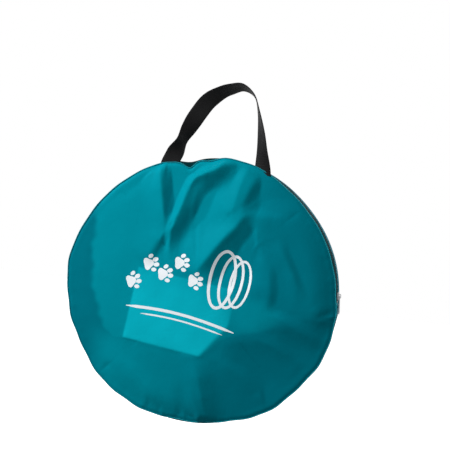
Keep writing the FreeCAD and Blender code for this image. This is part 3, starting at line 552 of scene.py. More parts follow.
# Creases of the front panel: path, profile of (distance right of the path, height), and the heights and
# widths that scale it along the path.
FOLDS = (
    # pulled down from the left end of the handle: a hollow with a sharp left edge, then a narrow ridge
    (((-78, 186), (-77, 166), (-72, 140), (-65, 106), (-60, 84)),
     ((-70, 0), (-24, -1.0), (0, 1.0), (34, 0)), (2.4, 3.8, 4.4, 3.2, 0), (1.0, 1.0, 0.9, 0.55, 0.35)),
    (((-50, 168), (-51, 148), (-53, 130), (-56, 108), (-57, 86)),
     ((-9, 0), (0, 1.0), (4, 0), (12, 0)), (0.8, 1.0, 0.8, 0.4, 0), (1.0, 1.0, 1.0, 1.0, 1.0)),
    # the long ridge from the notch, with a deep shaded slope to its right
    (((22, 197), (14, 187), (4, 177), (-14, 167), (-28, 156), (-35, 140), (-40, 120), (-47, 98), (-52, 74),
      (-52, 56), (-48, 40)),
     ((-70, 0), (-28, -1.0), (0, 1.0), (12, 0)),
     (2.6, 4.2, 5.2, 5.8, 6.0, 6.0, 5.8, 4.8, 3.6, 2.0, 0),
     (0.7, 0.8, 0.9, 1.0, 1.1, 1.1, 1.0, 0.8, 0.65, 0.6, 0.6)),
    (((-57, 84), (-67, 66), (-78, 44), (-84, 32)),
     ((-30, 0), (-10, -1.0), (0, 0.8), (26, 0)), (1.2, 2.0, 1.4, 0), (0.8, 1, 1.2, 1.4)),
    # pulled from the right end of the handle, down and left
    (((92, 112), (70, 118), (52, 112), (40, 95), (29, 82), (17, 65), (4, 45), (-6, 30), (-14, 18)),
     ((-80, 0), (-32, -1.0), (0, 1.0), (22, 0)),
     (0, 1.2, 2.6, 3.6, 4.6, 5.0, 4.6, 2.6, 0), (0.8, 0.7, 0.7, 0.75, 0.85, 1.0, 1.0, 1.0, 1.0)),
    (((54, 196), (47, 180), (42, 160), (38, 140), (35, 120), (38, 100)),
     ((-90, 0), (-34, -1.0), (0, 1.0), (60, 0)), (0.6, 2.4, 3.6, 3.8, 2.6, 0), (1, 1, 1, 1, 1, 0.9)),
    (((76, 176), (63, 166), (52, 147), (48, 124), (50, 108)),
     ((-50, 0), (-14, -0.8), (0, 0.8), (10, 0)), (0.4, 0.6, 0.7, 0.5, 0), (1, 1, 1, 1, 1)),
    (((66, 96), (58, 76), (48, 56), (42, 34), (40, 14)),
     ((-50, 0), (-20, -0.8), (0, 0.8), (14, 0)), (0, 1.6, 2.2, 2.0, 0), (1, 1, 1.2, 1.2, 1)),
    # shallow wrinkles where the cloth hangs free at the lower right
    (((78, -56), (104, -62), (130, -74), (158, -96)),
     ((-40, 0), (-14, -0.7), (0, 0.8), (16, 0)), (0, 1.4, 1.4, 0), (1, 1, 1.1, 1.2)),
    (((96, -20), (122, -26), (150, -40), (176, -58)),
     ((-34, 0), (-12, -0.8), (0, 0.8), (18, 0)), (0, 1.2, 1.6, 0.4), (1, 1, 1, 1)),
    (((40, -96), (66, -108), (92, -128), (108, -150)),
     ((-44, 0), (-16, -0.7), (0, 0.8), (20, 0)), (0, 1.4, 1.5, 0.4), (1, 1, 1, 1)),
    (((-112, -108), (-88, -122), (-60, -146), (-44, -172)),
     ((-40, 0), (-16, -0.6), (0, 0.8), (18, 0)), (0, 1.2, 1.4, 0.4), (1, 1, 1, 1)),
    (((84, 60), (96, 34), (100, 6), (96, -20)),
     ((-36, 0), (-14, -0.8), (0, 0.8), (16, 0)), (0, 1.5, 1.5, 0), (1, 1, 1, 1)),
    # the weight makes a broad ridge below the stack, with a lit left side and a shaded right side
    (((2, -100), (12, -122), (20, -150), (30, -188)),
     ((-80, 0), (-24, 0.2), (0, 1.0), (26, 0.3), (70, 0)), (1.4, 3.6, 4.2, 2.4), (0.8, 1, 1, 1)),
    (((104, 84), (116, 62), (132, 34), (150, 4)),
     ((-30, 0), (-10, -0.7), (0, 1.0), (20, 0)), (0, 1.4, 1.4, 0), (1, 1, 1, 1)),
)


CREASE_DEPTH = 1.9

# Gathers sewn into the seam by the handle's left end: where each one ends, and how deep it is.
GATHERS = ((-150, 112, 2.0), (-134, 120, 2.6), (-120, 132, 1.9), (-108, 124, 1.6), (-94, 128, 1.4),
           (-84, 140, 1.0))

# Small creases that share a profile, heights and widths: (path, depth) of each.
SMALL_CREASES = (
    # pinched cloth between the handle's ends
    (((-6, 0), (-2, -1), (2, 1), (7, 0)), (0.6, 1, 0), (0.6, 1, 1),
     ((((-36, 176), (-42, 168), (-50, 160), (-54, 150)), 3.0), (((-58, 182), (-52, 172), (-47, 162)), 2.4),
      (((-46, 163), (-34, 164), (-20, 168), (-8, 176)), 3.2), (((-64, 182), (-62, 166), (-58, 150)), 2.6),
      (((-70, 182), (-69, 168), (-66, 154)), 2.0))),
    # small dents at the edge
    (((-9, 0), (0, 1), (5, -0.7), (12, 0)), (1, 1, 0), (0.7, 1, 1.2),
     ((((-208, -42), (-190, -46), (-178, -52)), 1.2), (((-206, -30), (-190, -38), (-176, -50)), 0.9),
      (((200, -12), (184, -16), (168, -24)), 1.4), (((196, -24), (182, -22), (170, -26)), 0.8),
      (((116, -152), (104, -138), (100, -120)), 0.9), (((-70, -186), (-62, -168), (-66, -150)), 0.8))),
    # tucks at the bottom of the rim
    (((-7, 0), (-2, -1), (3, 1), (9, 0)), (1, 1, 0), (0.8, 1, 1),
     ((((2, -200), (-6, -184), (-10, -168)), 1.8), (((16, -200), (12, -186), (14, -172)), 1.6),
      (((40, -196), (32, -184), (22, -176)), 1.5), (((-36, -194), (-40, -180), (-34, -168)), 0.9))),
    # two pleats that run up from there
    (((-26, 0), (-10, -1.0), (0, 1.0), (9, 0)), (2.4, 2.6, 1.6, 0), (0.8, 1.2, 1.0, 0.8),
     ((((30, -198), (16, -176), (4, -156), (0, -132)), 1.0),)),
    (((-34, 0), (0, 1.0), (14, 0)), (1.0, 1.6, 1.4, 0), (0.8, 1, 1, 1),
     ((((-20, -200), (-30, -176), (-54, -140), (-80, -108)), 1.0),)),
)


def panel_relief(across, rise, angle, radius, rim):
    """How far the front panel stands forward of its seam, in millimetres."""
    inward = rim - radius
    upper_left = bump_at(angle, 140, 42)
    relief = (3.6 - 1.8 * upper_left) * ease(0, 26, inward) + 1.6 * ease(10, 90, inward)
    for path, profile, heights, widths in FOLDS:
        relief += CREASE_DEPTH * fold(across, rise, path, profile, heights, widths) * ease(-2, 12, inward)
    relief += over_the_stack(across, rise) * ease(-2, 34 + 46 * upper_left, inward)
    step = ease(-1.0, 1.6, inside_leaflet(across, rise))
    relief += 0.9 * step * (1 - ease(-3, 12, beyond_fold(across, rise)))
    return relief + small_dents(across, rise, angle, inward)


def small_dents(across, rise, angle, inward):
    """Gathers, puckers and the slight unevenness that is left all over."""
    relief = np.zeros_like(across)
    for x, z, depth in GATHERS:
        relief += fold(across, rise, ((-80, 176), ((-80 + x) / 2 - 1, (176 + z) / 2 + 3), (x, z)),
                       ((-6, 0), (0, -1), (7, 0.3), (14, 0)), (0.8 * depth, depth, 0), (0.35, 0.8, 1.3))
    for profile, heights, widths, creases in SMALL_CREASES:
        for path, depth in creases:
            relief += fold(across, rise, path, profile, [depth * height for height in heights], widths)
    puckers = np.sin(61 * angle + 2.0 * np.sin(5 * angle)) + 0.6 * np.sin(97 * angle + 1.0)
    relief += 0.28 * puckers * np.exp(-np.clip(inward, 0, None) / 9.0) * ease(0, 3, inward)
    wander = (np.sin(across / 17 + 1.3 * np.sin(rise / 31)) * np.sin(rise / 23 + 0.8 * np.sin(across / 19))
              + 0.5 * np.sin(across / 7.3 + rise / 11.7) * np.sin(rise / 8.9 - across / 16.1))
    return relief + 0.32 * wander * ease(0, 30, inward)


def relax(values, cells, passes):
    """Evens a grid of heights, as cloth does, and leaves its edge alone."""
    field = values.reshape(cells + 1, cells + 1)
    for _ in range(passes):
        inner = (field[:-2, 1:-1] + field[2:, 1:-1] + field[1:-1, :-2] + field[1:-1, 2:]) / 4
        field = field.copy()
        field[1:-1, 1:-1] = (field[1:-1, 1:-1] + inner * 3) / 4
    return field.ravel()


def make_front_panel():
    """The round front: crisp along its creases and evened in between."""
    cells = 220
    across, rise, angle, radius, rim, faces = round_sheet_grid(cells, front_rim)
    crisp = relax(panel_relief(across, rise, angle, radius, rim), cells, 4)
    soft = relax(crisp, cells, 37)
    paths = [path for path, *_ in FOLDS] + [STACK_EDGE]
    crease = np.min([np.abs(beside_path(across, rise, path)[0]) for path in paths], axis=0)
    held = ease(20, 6, np.minimum(crease, rim - radius))
    relief = soft + (crisp - soft) * held
    # nowhere deeper than the seam, and turned in at its edge
    relief = np.hypot(relief - 0.6, 0.5) / 2 + (relief - 0.6) / 2 + 0.6 * ease(0, 8, rim - radius)
    edge = 1.5 * ease(5.0, 0.0, rim - radius)
    points = np.stack([across, FRONT - relief + edge, rise], 1)
    made = piece("front_panel_cloth", points, faces, FRONT_CLOTH, "bag", "bag_cloth", ["front_panel"])
    keep_values(made, "paper_behind", paper_shows(across, rise))
    keep_values(made, "pressed", stack_backing_and_painted_light(across, rise))
    line_inside(made)
    return made


FRONT_PANEL = make_front_panel()


# ---------------------------------------------------------------- sides and back

# The zip and the upper strip run over the top, to just below the bag's middle on both sides.
STRIP_END = math.radians(-0.6)


def bend_with_flap(made):
    """Cloth that goes over the fold, where the back opens as a flap. Its placement is baked into its points; it
    is not bent.
    """
    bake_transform(made)


def side_strip(name, angles, depths, radius_at, material, **where):
    """A strip round the rim: one row per angle, one column per depth."""
    rows = np.array([round_middle(radius_at(angle, depths), angle, depths) for angle in angles])
    return piece(name, rows.reshape(-1, 3), grid_faces(len(angles), len(depths)), material, **where)


def rim_between(angle, depths, ripple):
    """Radius of the side at some depths: the front seam's outline runs out into the back seam's."""
    share = ease(FRONT + 1, BACK - 8, depths)
    front, back = front_rim(np.array(angle)), back_rim(np.array(angle))
    wave = ripple * np.sin(math.pi * (depths - FRONT) / (BACK - FRONT)) * (
        np.sin(19 * angle + 0.05 * depths) + 0.6 * np.sin(43 * angle + 0.11 * depths + 1.3))
    return front + (back - front) * share - 0.5 + wave


def make_sides():
    """Side strips: full depth below the fold, and narrow behind the zip."""
    lower = np.linspace(math.pi - STRIP_END, 2 * math.pi + STRIP_END, 260)
    depths = np.linspace(FRONT + 1.4, BACK - 1.0, 22)
    gusset = side_strip("side_strip_lower", lower, depths, lambda a, d: rim_between(a, d, 0.55), BAG_CLOTH,
                        body="bag", slot="bag_cloth", replaces=["gusset_lower"])
    thicken(gusset, BAG_CLOTH_THICK)
    upper = np.linspace(STRIP_END, math.pi - STRIP_END, 300)
    depths = np.linspace(TAPE_BACK - 0.6, BACK - 1.0, 9)
    strip = side_strip("side_strip_upper", upper, depths, lambda a, d: rim_between(a, d, 0.3), BAG_CLOTH,
                       slot="bag_cloth", replaces=["gusset_upper"])
    bend_with_flap(strip)
    thicken(strip, BAG_CLOTH_THICK)


BACK_FOLD_DEPTH = 1.6
BACK_FOLD_PROFILE = ((-30, 0), (0, 1), (11, -0.6), (34, 0))

# Soft folds of the back panel: path, and heights along it.
BACK_FOLDS = ((((-70, 188), (-62, 140), (-44, 92), (-10, 50)), (1.3, 1.5, 0.9, 0)),
              (((72, 186), (58, 150), (52, 110), (66, 64)), (1.0, 1.3, 0.8, 0)),
              (((120, 150), (96, 110), (100, 70)), (0.8, 0.8, 0)),
              (((-178, 40), (-130, 18), (-80, 8), (-30, 14)), (0.6, 1.0, 0.8, 0)),
              (((150, -90), (110, -60), (60, -48), (10, -60)), (0.6, 1.0, 0.8, 0)),
              (((-150, -110), (-110, -80), (-90, -40)), (0.7, 0.9, 0)),
              (((-60, -176), (-40, -130), (-44, -84)), (0.9, 1.0, 0)),
              (((40, -188), (52, -150), (84, -118)), (0.8, 0.9, 0)))


def make_back_panel():
    """One cloth over both CAD halves."""
    cells = 180
    across, rise, angle, radius, rim, faces = round_sheet_grid(cells, back_rim)
    inward = rim - radius
    swell = 1.5 * ease(0, 22, inward)
    for path, heights in BACK_FOLDS:
        swell += BACK_FOLD_DEPTH * fold(across, rise, path, BACK_FOLD_PROFILE, heights, (1, 1))
    swell += 0.25 * np.sin(53 * angle) * np.exp(-inward / 8.0)
    points = np.stack([across, BACK - 1.0 + relax(swell, cells, 4) * 0.9, rise], 1)
    made = piece("back_panel_cloth", points, faces[:, ::-1], BAG_CLOTH, slot="bag_cloth",
                 replaces=["back_panel_lower", "back_panel_upper"])
    bend_with_flap(made)
    line_inside(made)


def make_seams():
    """Turned seams: the two cloths meet in a narrow rolled edge, drawn a little heavier than thread."""
    angles = np.linspace(0, 2 * math.pi, 480, endpoint=False)
    # the front roll's paler colour is a painted highlight
    tube("front_seam_roll", round_middle(front_rim(angles), angles, FRONT + 0.9), 0.8, 8, SEAM_CLOTH,
         closed=True, body="bag", slot="bag_cloth")
    back = tube("back_seam_roll", round_middle(back_rim(angles) - 0.2, angles, BACK - 1.0), 0.8, 8, BAG_CLOTH,
                closed=True, slot="bag_cloth")
    bend_with_flap(back)


make_sides()
make_back_panel()
make_seams()


# ---------------------------------------------------------------- zip

# How far inside the rim the zip lies, then the spacing, half height and thread radius of its coil.
ZIP_INSET = 1.2
COIL_PITCH, COIL_HALF_HEIGHT, COIL_THREAD = 1.6, 0.85, 0.3


def zip_tape_radius(angle, depths):
    """The front tape runs from the chain in to the front seam."""
    chain = RADIUS - ZIP_INSET - top_dip(np.array(angle))
    share = ease(CHAIN_FRONT - 3.6, FRONT + 1.0, depths)
    return chain + (front_rim(np.array(angle)) - 0.6 - chain) * share


def coil_half(name, root, head, start, phase, **where):
    """One half of the chain: a nylon thread wound into a flat coil with its heads towards the middle."""
    middle = RADIUS - ZIP_INSET - 0.05
    turns = (math.pi - 2 * start) * middle / COIL_PITCH
    t = np.linspace(0, turns, int(turns * 10))
    angle = start + t * COIL_PITCH / middle
    wind = 2 * math.pi * (t + phase)
    radius = middle - top_dip(angle) + COIL_HALF_HEIGHT * np.sin(wind)
    depth = (head + root) / 2 - (head - root) / 2 * np.cos(wind)
    path = round_middle(radius, angle, depth)
    return tube(name, path, COIL_THREAD, 5, COIL_NYLON, slot="zip_coil", **where)


def make_zip():
    """Both tapes and both halves of the chain."""
    upper = np.linspace(STRIP_END, math.pi - STRIP_END, 300)
    front = side_strip("zip_tape_front_cloth", upper, np.linspace(FRONT + 1.2, CHAIN_FRONT + 0.6, 8),
                       zip_tape_radius, ZIP_TWILL, body="bag", slot="zip_tape", replaces=["zip_tape_front"])
    thicken(front, ZIP_TAPE_THICK)
    back = side_strip("zip_tape_back_cloth", upper, np.linspace(CHAIN_BACK - 0.6, TAPE_BACK + 0.4, 8),
                      lambda a, d: np.full(len(d), RADIUS - ZIP_INSET - top_dip(np.array(a))), ZIP_TWILL,
                      slot="zip_tape", replaces=["zip_tape_back", "zip_tape_end_right", "zip_tape_end_left"])
    bend_with_flap(back)
    thicken(back, ZIP_TAPE_THICK)
    stop = math.asin(STOP_RISE / RADIUS) + 0.004
    reach = (CHAIN_BACK - CHAIN_FRONT) * 0.6
    coil_half("zip_coil_front", CHAIN_FRONT - 0.1, CHAIN_FRONT + reach, stop, 0.0, body="bag",
              replaces=["zip_chain_front"])
    coil = coil_half("zip_coil_back", CHAIN_BACK + 0.1, CHAIN_BACK - reach, stop, 0.5,
                     replaces=["zip_chain_back", "zip_chain_end_right", "zip_chain_end_left"])
    bend_with_flap(coil)


def finish_kept_nodes():
    """Pieces whose CAD shape is already right: their finish, and their edges rounded in millimetres."""
    for name, material, edge in (("zip_slider", ZIP_METAL, 0.18), ("zip_puller", ZIP_METAL, 0.22),
                                 ("zip_stop_right", ZIP_METAL, 0.25), ("zip_stop_left", ZIP_METAL, 0.25),
                                 ("coil_ferrule_front", FERRULE_METAL, 0.2),
                                 ("coil_ferrule_back", FERRULE_METAL, 0.2),
                                 ("zip_tab_right", TAB_CLOTH, 0.3), ("zip_tab_left", TAB_CLOTH, 0.3)):
        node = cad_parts[name]
        node.data.materials.clear()
        node.data.materials.append(material)
        bevel = node.modifiers.new("soft_edges", "BEVEL")
        bevel.width = edge * MM
        bevel.segments = 2
        bevel.limit_method = "ANGLE"


make_zip()
finish_kept_nodes()


# ---------------------------------------------------------------- webbing and tapes

def tape(name, path, turns, width, thick, material, closed=False, cup=0.0, **where):
    """Flat webbing along a path with its edges rounded. turns is the direction of its width at each point."""
    path, turns = np.asarray(path, float), np.asarray(turns, float)
    ahead = np.gradient(path, axis=0) if not closed else np.roll(path, -1, 0) - np.roll(path, 1, 0)
    ahead /= np.linalg.norm(ahead, axis=1)[:, None]
    turns = turns - ahead * (turns * ahead).sum(1)[:, None]
    turns /= np.linalg.norm(turns, axis=1)[:, None]
    face = np.cross(ahead, turns)
    shares = np.array((-1, -0.97, -0.8, -0.4, 0, 0.4, 0.8, 0.97))
    lift = np.array((0, 0.75, 1, 1, 1, 1, 1, 0.75))
    across = np.concatenate([shares, -shares])
    height = np.concatenate([lift, -lift])
    rings = (path[:, None, :] + turns[:, None, :] * (across * width / 2)[None, :, None]
             + face[:, None, :] * (height * thick / 2 + cup * (1 - across ** 2))[None, :, None])
    rows, columns = rings.shape[:2]
    made = piece(name, rings.reshape(-1, 3), ring_faces(rows, columns, closed), material, **where)
    run = np.concatenate([[0], np.cumsum(np.linalg.norm(np.diff(path, axis=0), axis=1))]) * MM
    keep_values(made, "along", np.repeat(run, columns))
    keep_values(made, "across", np.tile(across * width / 2 * MM, rows))
    return made


HANDLE_WIDTH = 25.0
# The strap shows from this radius out. Its sewn ends lie each side of the middle, between two rises.
STRAP_FROM = 187.0
TAIL_ASIDE, TAIL_LOW, TAIL_HIGH = 68.5, 150, 175

# Middle line of the handle from its left end to its right end, with the turn of its width in degrees:
# 0 shows the whole width to the front and 90 its edge.
HANDLE = ((-70.0, 165.0, 0), (-67.2, 178.0, 0), (-61.6, 191.4, 12), (-53.1, 211.4, 62), (-44.2, 231.5, 38),
          (-33.3, 252.6, 12), (-20.3, 272.3, 25), (-3.0, 286.0, 50), (10.8, 292.5, 60), (28.0, 296.5, 72),
          (45.0, 286.4, 84), (53.5, 265.0, 78), (60.8, 233.9, 60), (65.3, 205.9, 44), (68.6, 183.0, 18),
          (69.5, 172.0, 8), (69.5, 160.0, 0))


def make_handle():
    """The loop, and its two ends sewn inside the front panel."""
    line = smooth_path(HANDLE, 260)
    path = np.stack([line[:, 0], np.zeros(len(line)), line[:, 1]], 1)
    ahead = np.gradient(path, axis=0)
    ahead /= np.linalg.norm(ahead, axis=1)[:, None]
    depth = np.array((0.0, 1.0, 0.0))
    turn = np.radians(line[:, 2])[:, None]
    width = np.cross(depth, ahead) * np.cos(turn) + depth * np.sin(turn)
    out = np.hypot(path[:, 0], path[:, 2]) > STRAP_FROM
    made = tape("handle_webbing_strap", path[out], width[out], HANDLE_WIDTH, 1.5, WEBBING, cup=0.35,
                slot="black_webbing", replaces=["handle_webbing"])
    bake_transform(made)
    for name, side in (("left", -TAIL_ASIDE), ("right", TAIL_ASIDE)):
        tail = np.stack(np.broadcast_arrays(side, 0.6, np.linspace(TAIL_LOW, TAIL_HIGH, 12)), 1)
        tape(f"handle_tail_{name}_strap", tail, np.tile((1.0, 0.0, 0.0), (12, 1)), HANDLE_WIDTH, 1.2, WEBBING,
             body="bag", slot="black_webbing", replaces=[f"handle_tail_{name}"])


make_handle()


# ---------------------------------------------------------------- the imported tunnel

# The wire's radius, its turns, the radius of the free bore inside the folded cloth, and the hems' width.
COIL_LOW, COIL_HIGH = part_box("tunnel_coil")
WIRE = 1.2
COIL_RADIUS = (COIL_HIGH.x - COIL_LOW.x) / 2 / MM - WIRE
COIL_START = COIL_LOW.y / MM + WIRE
COIL_END = COIL_HIGH.y / MM - WIRE
TURNS = 5
BORE_RADIUS = 127.0
HEM_WIDTH = 23


def coil_path(t, radius):
    """Points on the spring after t turns from the right-hand side, going down first."""
    depth = COIL_START + (COIL_END - COIL_START) * t / TURNS
    return round_middle(radius, -2 * math.pi * t, depth, TUNNEL_RISE)


def make_spring():
    """The steel wire, in the ruffled sleeve that is sewn along it."""
    t = np.linspace(0, TURNS, TURNS * 110)
    tube("tunnel_spring_wire", coil_path(t, COIL_RADIUS), WIRE, 8, SPRING_STEEL, body="bag",
         slot="spring_steel", replaces=["tunnel_coil"])
    t = np.linspace(0.03, TURNS - 0.03, TURNS * 110)
    ruffle = 1.75 + 0.12 * np.sin(t * 61) + 0.08 * np.sin(t * 143)
    tube("wire_sleeve", coil_path(t, COIL_RADIUS), ruffle, 8, HEM_CLOTH, body="bag", slot="tunnel_hem")


# Section of the cloth between two turns of the wire: share of the way to the next turn, and how far inward.
CLOTH_SECTION = ((0.0, 0.0), (0.12, -26), (0.25, -50), (0.31, -53), (0.37, -50), (0.44, -30), (0.5, -14),
                 (0.56, -13), (0.63, -32), (0.70, -49), (0.76, -52), (0.82, -49), (0.91, -25), (1.0, 0.0))


def make_tunnel_cloth():
    """The tube of cloth, folded in between the turns of the wire: two folds to each turn."""
    rows = (TURNS - 1) * 200
    share, inset = smooth_path(CLOTH_SECTION, 30).T
    pitch = (COIL_END - COIL_START) / TURNS
    points = []
    for turn in np.linspace(0, TURNS - 1, rows):
        creep = 1 + 0.05 * math.sin(9 * turn * 2 * math.pi / 1.37) + 0.04 * math.sin(47 * turn + 1.1)
        sway = 0.25 * math.sin(31 * turn) * pitch * 0.3
        depth = COIL_START + pitch * (turn + share) + sway * np.sin(math.pi * share * 2)
        radius = COIL_RADIUS - 1.5 + inset * creep
        points.append(round_middle(radius, -2 * math.pi * turn, depth, TUNNEL_RISE))
    made = piece("tunnel_cloth", np.array(points).reshape(-1, 3), grid_faces(rows, len(share)), TUNNEL_CLOTH,
                 "bag", "tunnel_cloth", ["tunnel_skin"])


def make_hem(label, out):
    """The band round one mouth of the tunnel, with two rows of stitching. out is -1 in front and 1 behind."""
    angles = np.linspace(0, 2 * math.pi, 240, endpoint=False)
    low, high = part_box(f"tunnel_hem_{label}")
    depth = (low.y + high.y) / 2 / MM
    # in front, the band stays behind the seam where the notch draws it in
    room = front_rim(angles) - 2.2 - TUNNEL_RISE * np.sin(angles) - TUNNEL_RADIUS
    pulled = np.minimum(room, 0) if out < 0 else np.zeros(len(angles))
    radii = np.linspace(TUNNEL_RADIUS - HEM_WIDTH, TUNNEL_RADIUS, 9)
    rows = []
    for angle, pull in zip(angles, pulled):
        wave = 0.12 * math.sin(37 * angle) * np.sin((radii - radii[0]) / HEM_WIDTH * math.pi)
        rows.append(round_middle(radii + pull, angle, depth + wave, TUNNEL_RISE))
    made = piece(f"tunnel_hem_{label}_band", np.array(rows).reshape(-1, 3),
                 grid_faces(len(angles), 9, close_rows=True), HEM_CLOTH, "bag", "tunnel_hem",
                 [f"tunnel_hem_{label}"])
    thicken(made, 0.6, 0.0)
    for row, inset in enumerate((20.5, 2.5), 1):
        ring = round_middle(TUNNEL_RADIUS - inset + pulled, angles, depth + out * 0.35, TUNNEL_RISE)
        stitches(f"hem_stitches_{label}_{row}", np.vstack([ring, ring[:1]]), THREAD_TEAL, body="bag",
                 slot="tunnel_hem")


def thin_tape(node, degrees, section, width, thick, closed=False):
    """A thin tape along a section of (radius, depth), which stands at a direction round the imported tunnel."""
    a = math.radians(degrees)
    path = round_middle(section[:, 0], a, section[:, 1], TUNNEL_RISE)
    sideways = np.tile((-math.sin(a), 0.0, math.cos(a)), (len(path), 1))
    tape(f"{node}_tape", path, sideways, width, thick, TIE_TAPE, closed=closed, body="bag",
         slot="tie_webbing", replaces=[node])


def make_tie(label, degrees):
    """A thin tape through the bore and round the stack, in one closed loop with rounded corners."""
    low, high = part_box(f"tunnel_tie_{label}")
    corner = 2.2
    front, back = low.y / MM + 0.4 + corner, high.y / MM - 0.4 - corner
    inner, outer = BORE_RADIUS + corner, TUNNEL_RADIUS + 0.6 - corner
    loop = []
    for r, y, start in ((outer, back, 0), (inner, back, 90), (inner, front, 180), (outer, front, 270)):
        for step in range(6):
            a = math.radians(start + step * 18)
            loop.append((r + corner * math.cos(a), y + corner * math.sin(a)))
    loop = np.array(loop)
    fine = []
    for p, q in zip(loop, np.roll(loop, -1, 0)):
        count = max(1, int(np.hypot(*(q - p)) / 3))
        fine.extend(p + (q - p) * k / count for k in range(count))
    thin_tape(f"tunnel_tie_{label}", degrees, np.array(fine), 20.0, 0.8, closed=True)


# A folded loop for a ground peg: radius, and depth from the middle of its hem.
PEG_LOOP = ((189.0, -0.25), (181.0, -0.27), (172.0, -0.3), (166.0, -0.3), (164.2, -0.15), (163.7, 0.0),
            (164.2, 0.15), (166.0, 0.3), (172.0, 0.3), (181.0, 0.27), (189.0, 0.25))


def make_peg_loops():
    """Two loops on each hem, low on the left and right."""
    for index, degrees in enumerate((-50, -130, -50, -130), 1):
        low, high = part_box(f"peg_loop_{index}")
        section = smooth_path(PEG_LOOP, 40) + (0, (low.y + high.y) / 2 / MM)
        thin_tape(f"peg_loop_{index}", degrees, section, 15.0, 0.3)


def make_leaflet():
    """A sheet folded to a quarter: four leaves that spring open a little at the edge."""
    points, faces = [], []
    middle = (LEAFLET_LOW.y + LEAFLET_HIGH.y) / 2 / MM
    for leaf in range(4):
        first = len(points)
        depth = middle + (leaf - 1.5) * 0.19
        for i in range(13):
            for j in range(9):
                x, z = turned((i / 12 - 0.5) * (LEAFLET_WIDTH - 0.5 * leaf),
                              (j / 8 - 0.5) * (LEAFLET_HEIGHT - 0.6 * leaf), LEAFLET_TURN)
                y = depth + 0.05 * math.sin(i * 0.9 + leaf) * (j / 8)
                points.append((x + LEAFLET_MIDDLE[0], y, z + LEAFLET_MIDDLE[1]))
        faces.extend(grid_faces(13, 9, start=first))
    made = piece("leaflet_paper", np.array(points), faces, PAPER, "bag", "paper", ["instruction_leaflet"])
    thicken(made, 0.1, 0.0)


def make_pouch():
    """A small drawstring pouch of ground pegs, lying in the bottom of the bore."""
    low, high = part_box("peg_pouch")
    left, right = low.x / MM - CENTRE_X + 3, high.x / MM - CENTRE_X - 3
    middle_y, half_y = (low.y + high.y) / 2 / MM, (high.y - low.y) / 2 / MM
    rows, columns = 90, 40
    points = []
    for i in range(rows):
        t = i / (rows - 1)
        x = left + (right - left) * t
        end = min(1.0, math.sqrt(max(0.0, 1 - (abs(t - 0.5) * 2) ** 6)))
        neck = 1 - 0.45 * math.exp(-((t - 0.9) / 0.035) ** 2)
        floor = -math.sqrt(BORE_RADIUS ** 2 - x * x) + TUNNEL_RISE + 0.6
        height = 50.0 - 4 * t
        for j in range(columns):
            a = 2 * math.pi * j / columns
            sag = 0.9 * math.sin(4 * a + 3 * t) * (1 - abs(2 * t - 1)) + 0.5 * math.sin(9 * a + 20 * t)
            plump = np.sign(math.cos(a)) * abs(math.cos(a)) ** 0.8
            y = middle_y + (half_y - 1.4) * end * neck * plump + 0.4 * sag
            rise = (math.sin(a) * 0.5 + 0.5) ** 0.9
            z = floor + 2 + (height * (0.15 + 0.85 * end)) * rise * neck + (1 - neck) * 12 + 0.5 * sag
            points.append((x, y, z))
    made = piece("peg_pouch_cloth", points, ring_faces(rows, columns), POUCH_CLOTH, "bag", "pouch_cloth",
                 ["peg_pouch"])


make_spring()
make_tunnel_cloth()
make_hem("front", -1)
make_hem("back", 1)
make_tie("right", 40)
make_tie("left", 140)
make_peg_loops()
make_leaflet()
make_pouch()


# ---------------------------------------------------------------- printed motif

def on_front_cloth(points):
    """Lays flat artwork (across, rise) on the front of the cloth, a film's thickness proud of it."""
    mesh = FRONT_PANEL.data
    tree = BVHTree.FromPolygons([v.co for v in mesh.vertices], [p.vertices for p in mesh.polygons])
    laid = []
    for across, rise in points:
        start = Vector(((across + CENTRE_X) * MM, -0.05, (rise + CENTRE_Z) * MM))
        hit = tree.ray_cast(start, Vector((0, 1, 0)))[0]
        laid.append((across, hit.y / MM - 0.12, rise))
    return laid


def blot(across, rise, wide, tall, turn, lobes=0.0):
    """A round patch of ink, or a pad with three soft lobes."""
    points, rings, sides = [(across, rise)], 4, 28
    for ring in range(1, rings + 1):
        for side in range(sides):
            a = 2 * math.pi * side / sides
            r = ring / rings * (1 + lobes * math.cos(3 * (a - math.pi / 2)))
            x, z = turned(wide * r * math.cos(a), tall * r * math.sin(a), turn)
            points.append((across + x, rise + z))
    faces = [(0, 1 + k, 1 + (k + 1) % sides) for k in range(sides)]
    for ring in range(rings - 1):
        a, b = 1 + ring * sides, 1 + (ring + 1) * sides
        faces.extend((a + k, b + k, b + (k + 1) % sides, a + (k + 1) % sides) for k in range(sides))
    return points, faces


def hoop(across, rise, wide, tall, turn, stroke):
    """A ring of ink."""
    points, sides, steps = [], 96, 4
    for side in range(sides):
        a = 2 * math.pi * side / sides
        for step in range(steps):
            grow = stroke * (step / (steps - 1) - 0.5)
            x, z = turned((wide + grow) * math.cos(a), (tall + grow) * math.sin(a), turn)
            points.append((across + x, rise + z))
    return points, [tuple(f) for f in grid_faces(sides, steps, close_rows=True)]


def ribbon_of_ink(line, thick):
    """A painted line with tapered ends."""
    points = []
    for index, (across, rise) in enumerate(line):
        half = thick / 2 * min(1.0, 0.25 + 8 * min(index, len(line) - 1 - index) / len(line))
        points.extend((across, rise + half * k) for k in (-1, -0.35, 0.35, 1))
    return points, [tuple(f) for f in grid_faces(len(line), 4)]


# The toes of a paw mark, as shares of its size: sideways, ahead and radius.
TOES = ((-1.0, 0.62, 0.28), (-0.37, 1.14, 0.31), (0.37, 1.14, 0.31), (1.0, 0.62, 0.28))


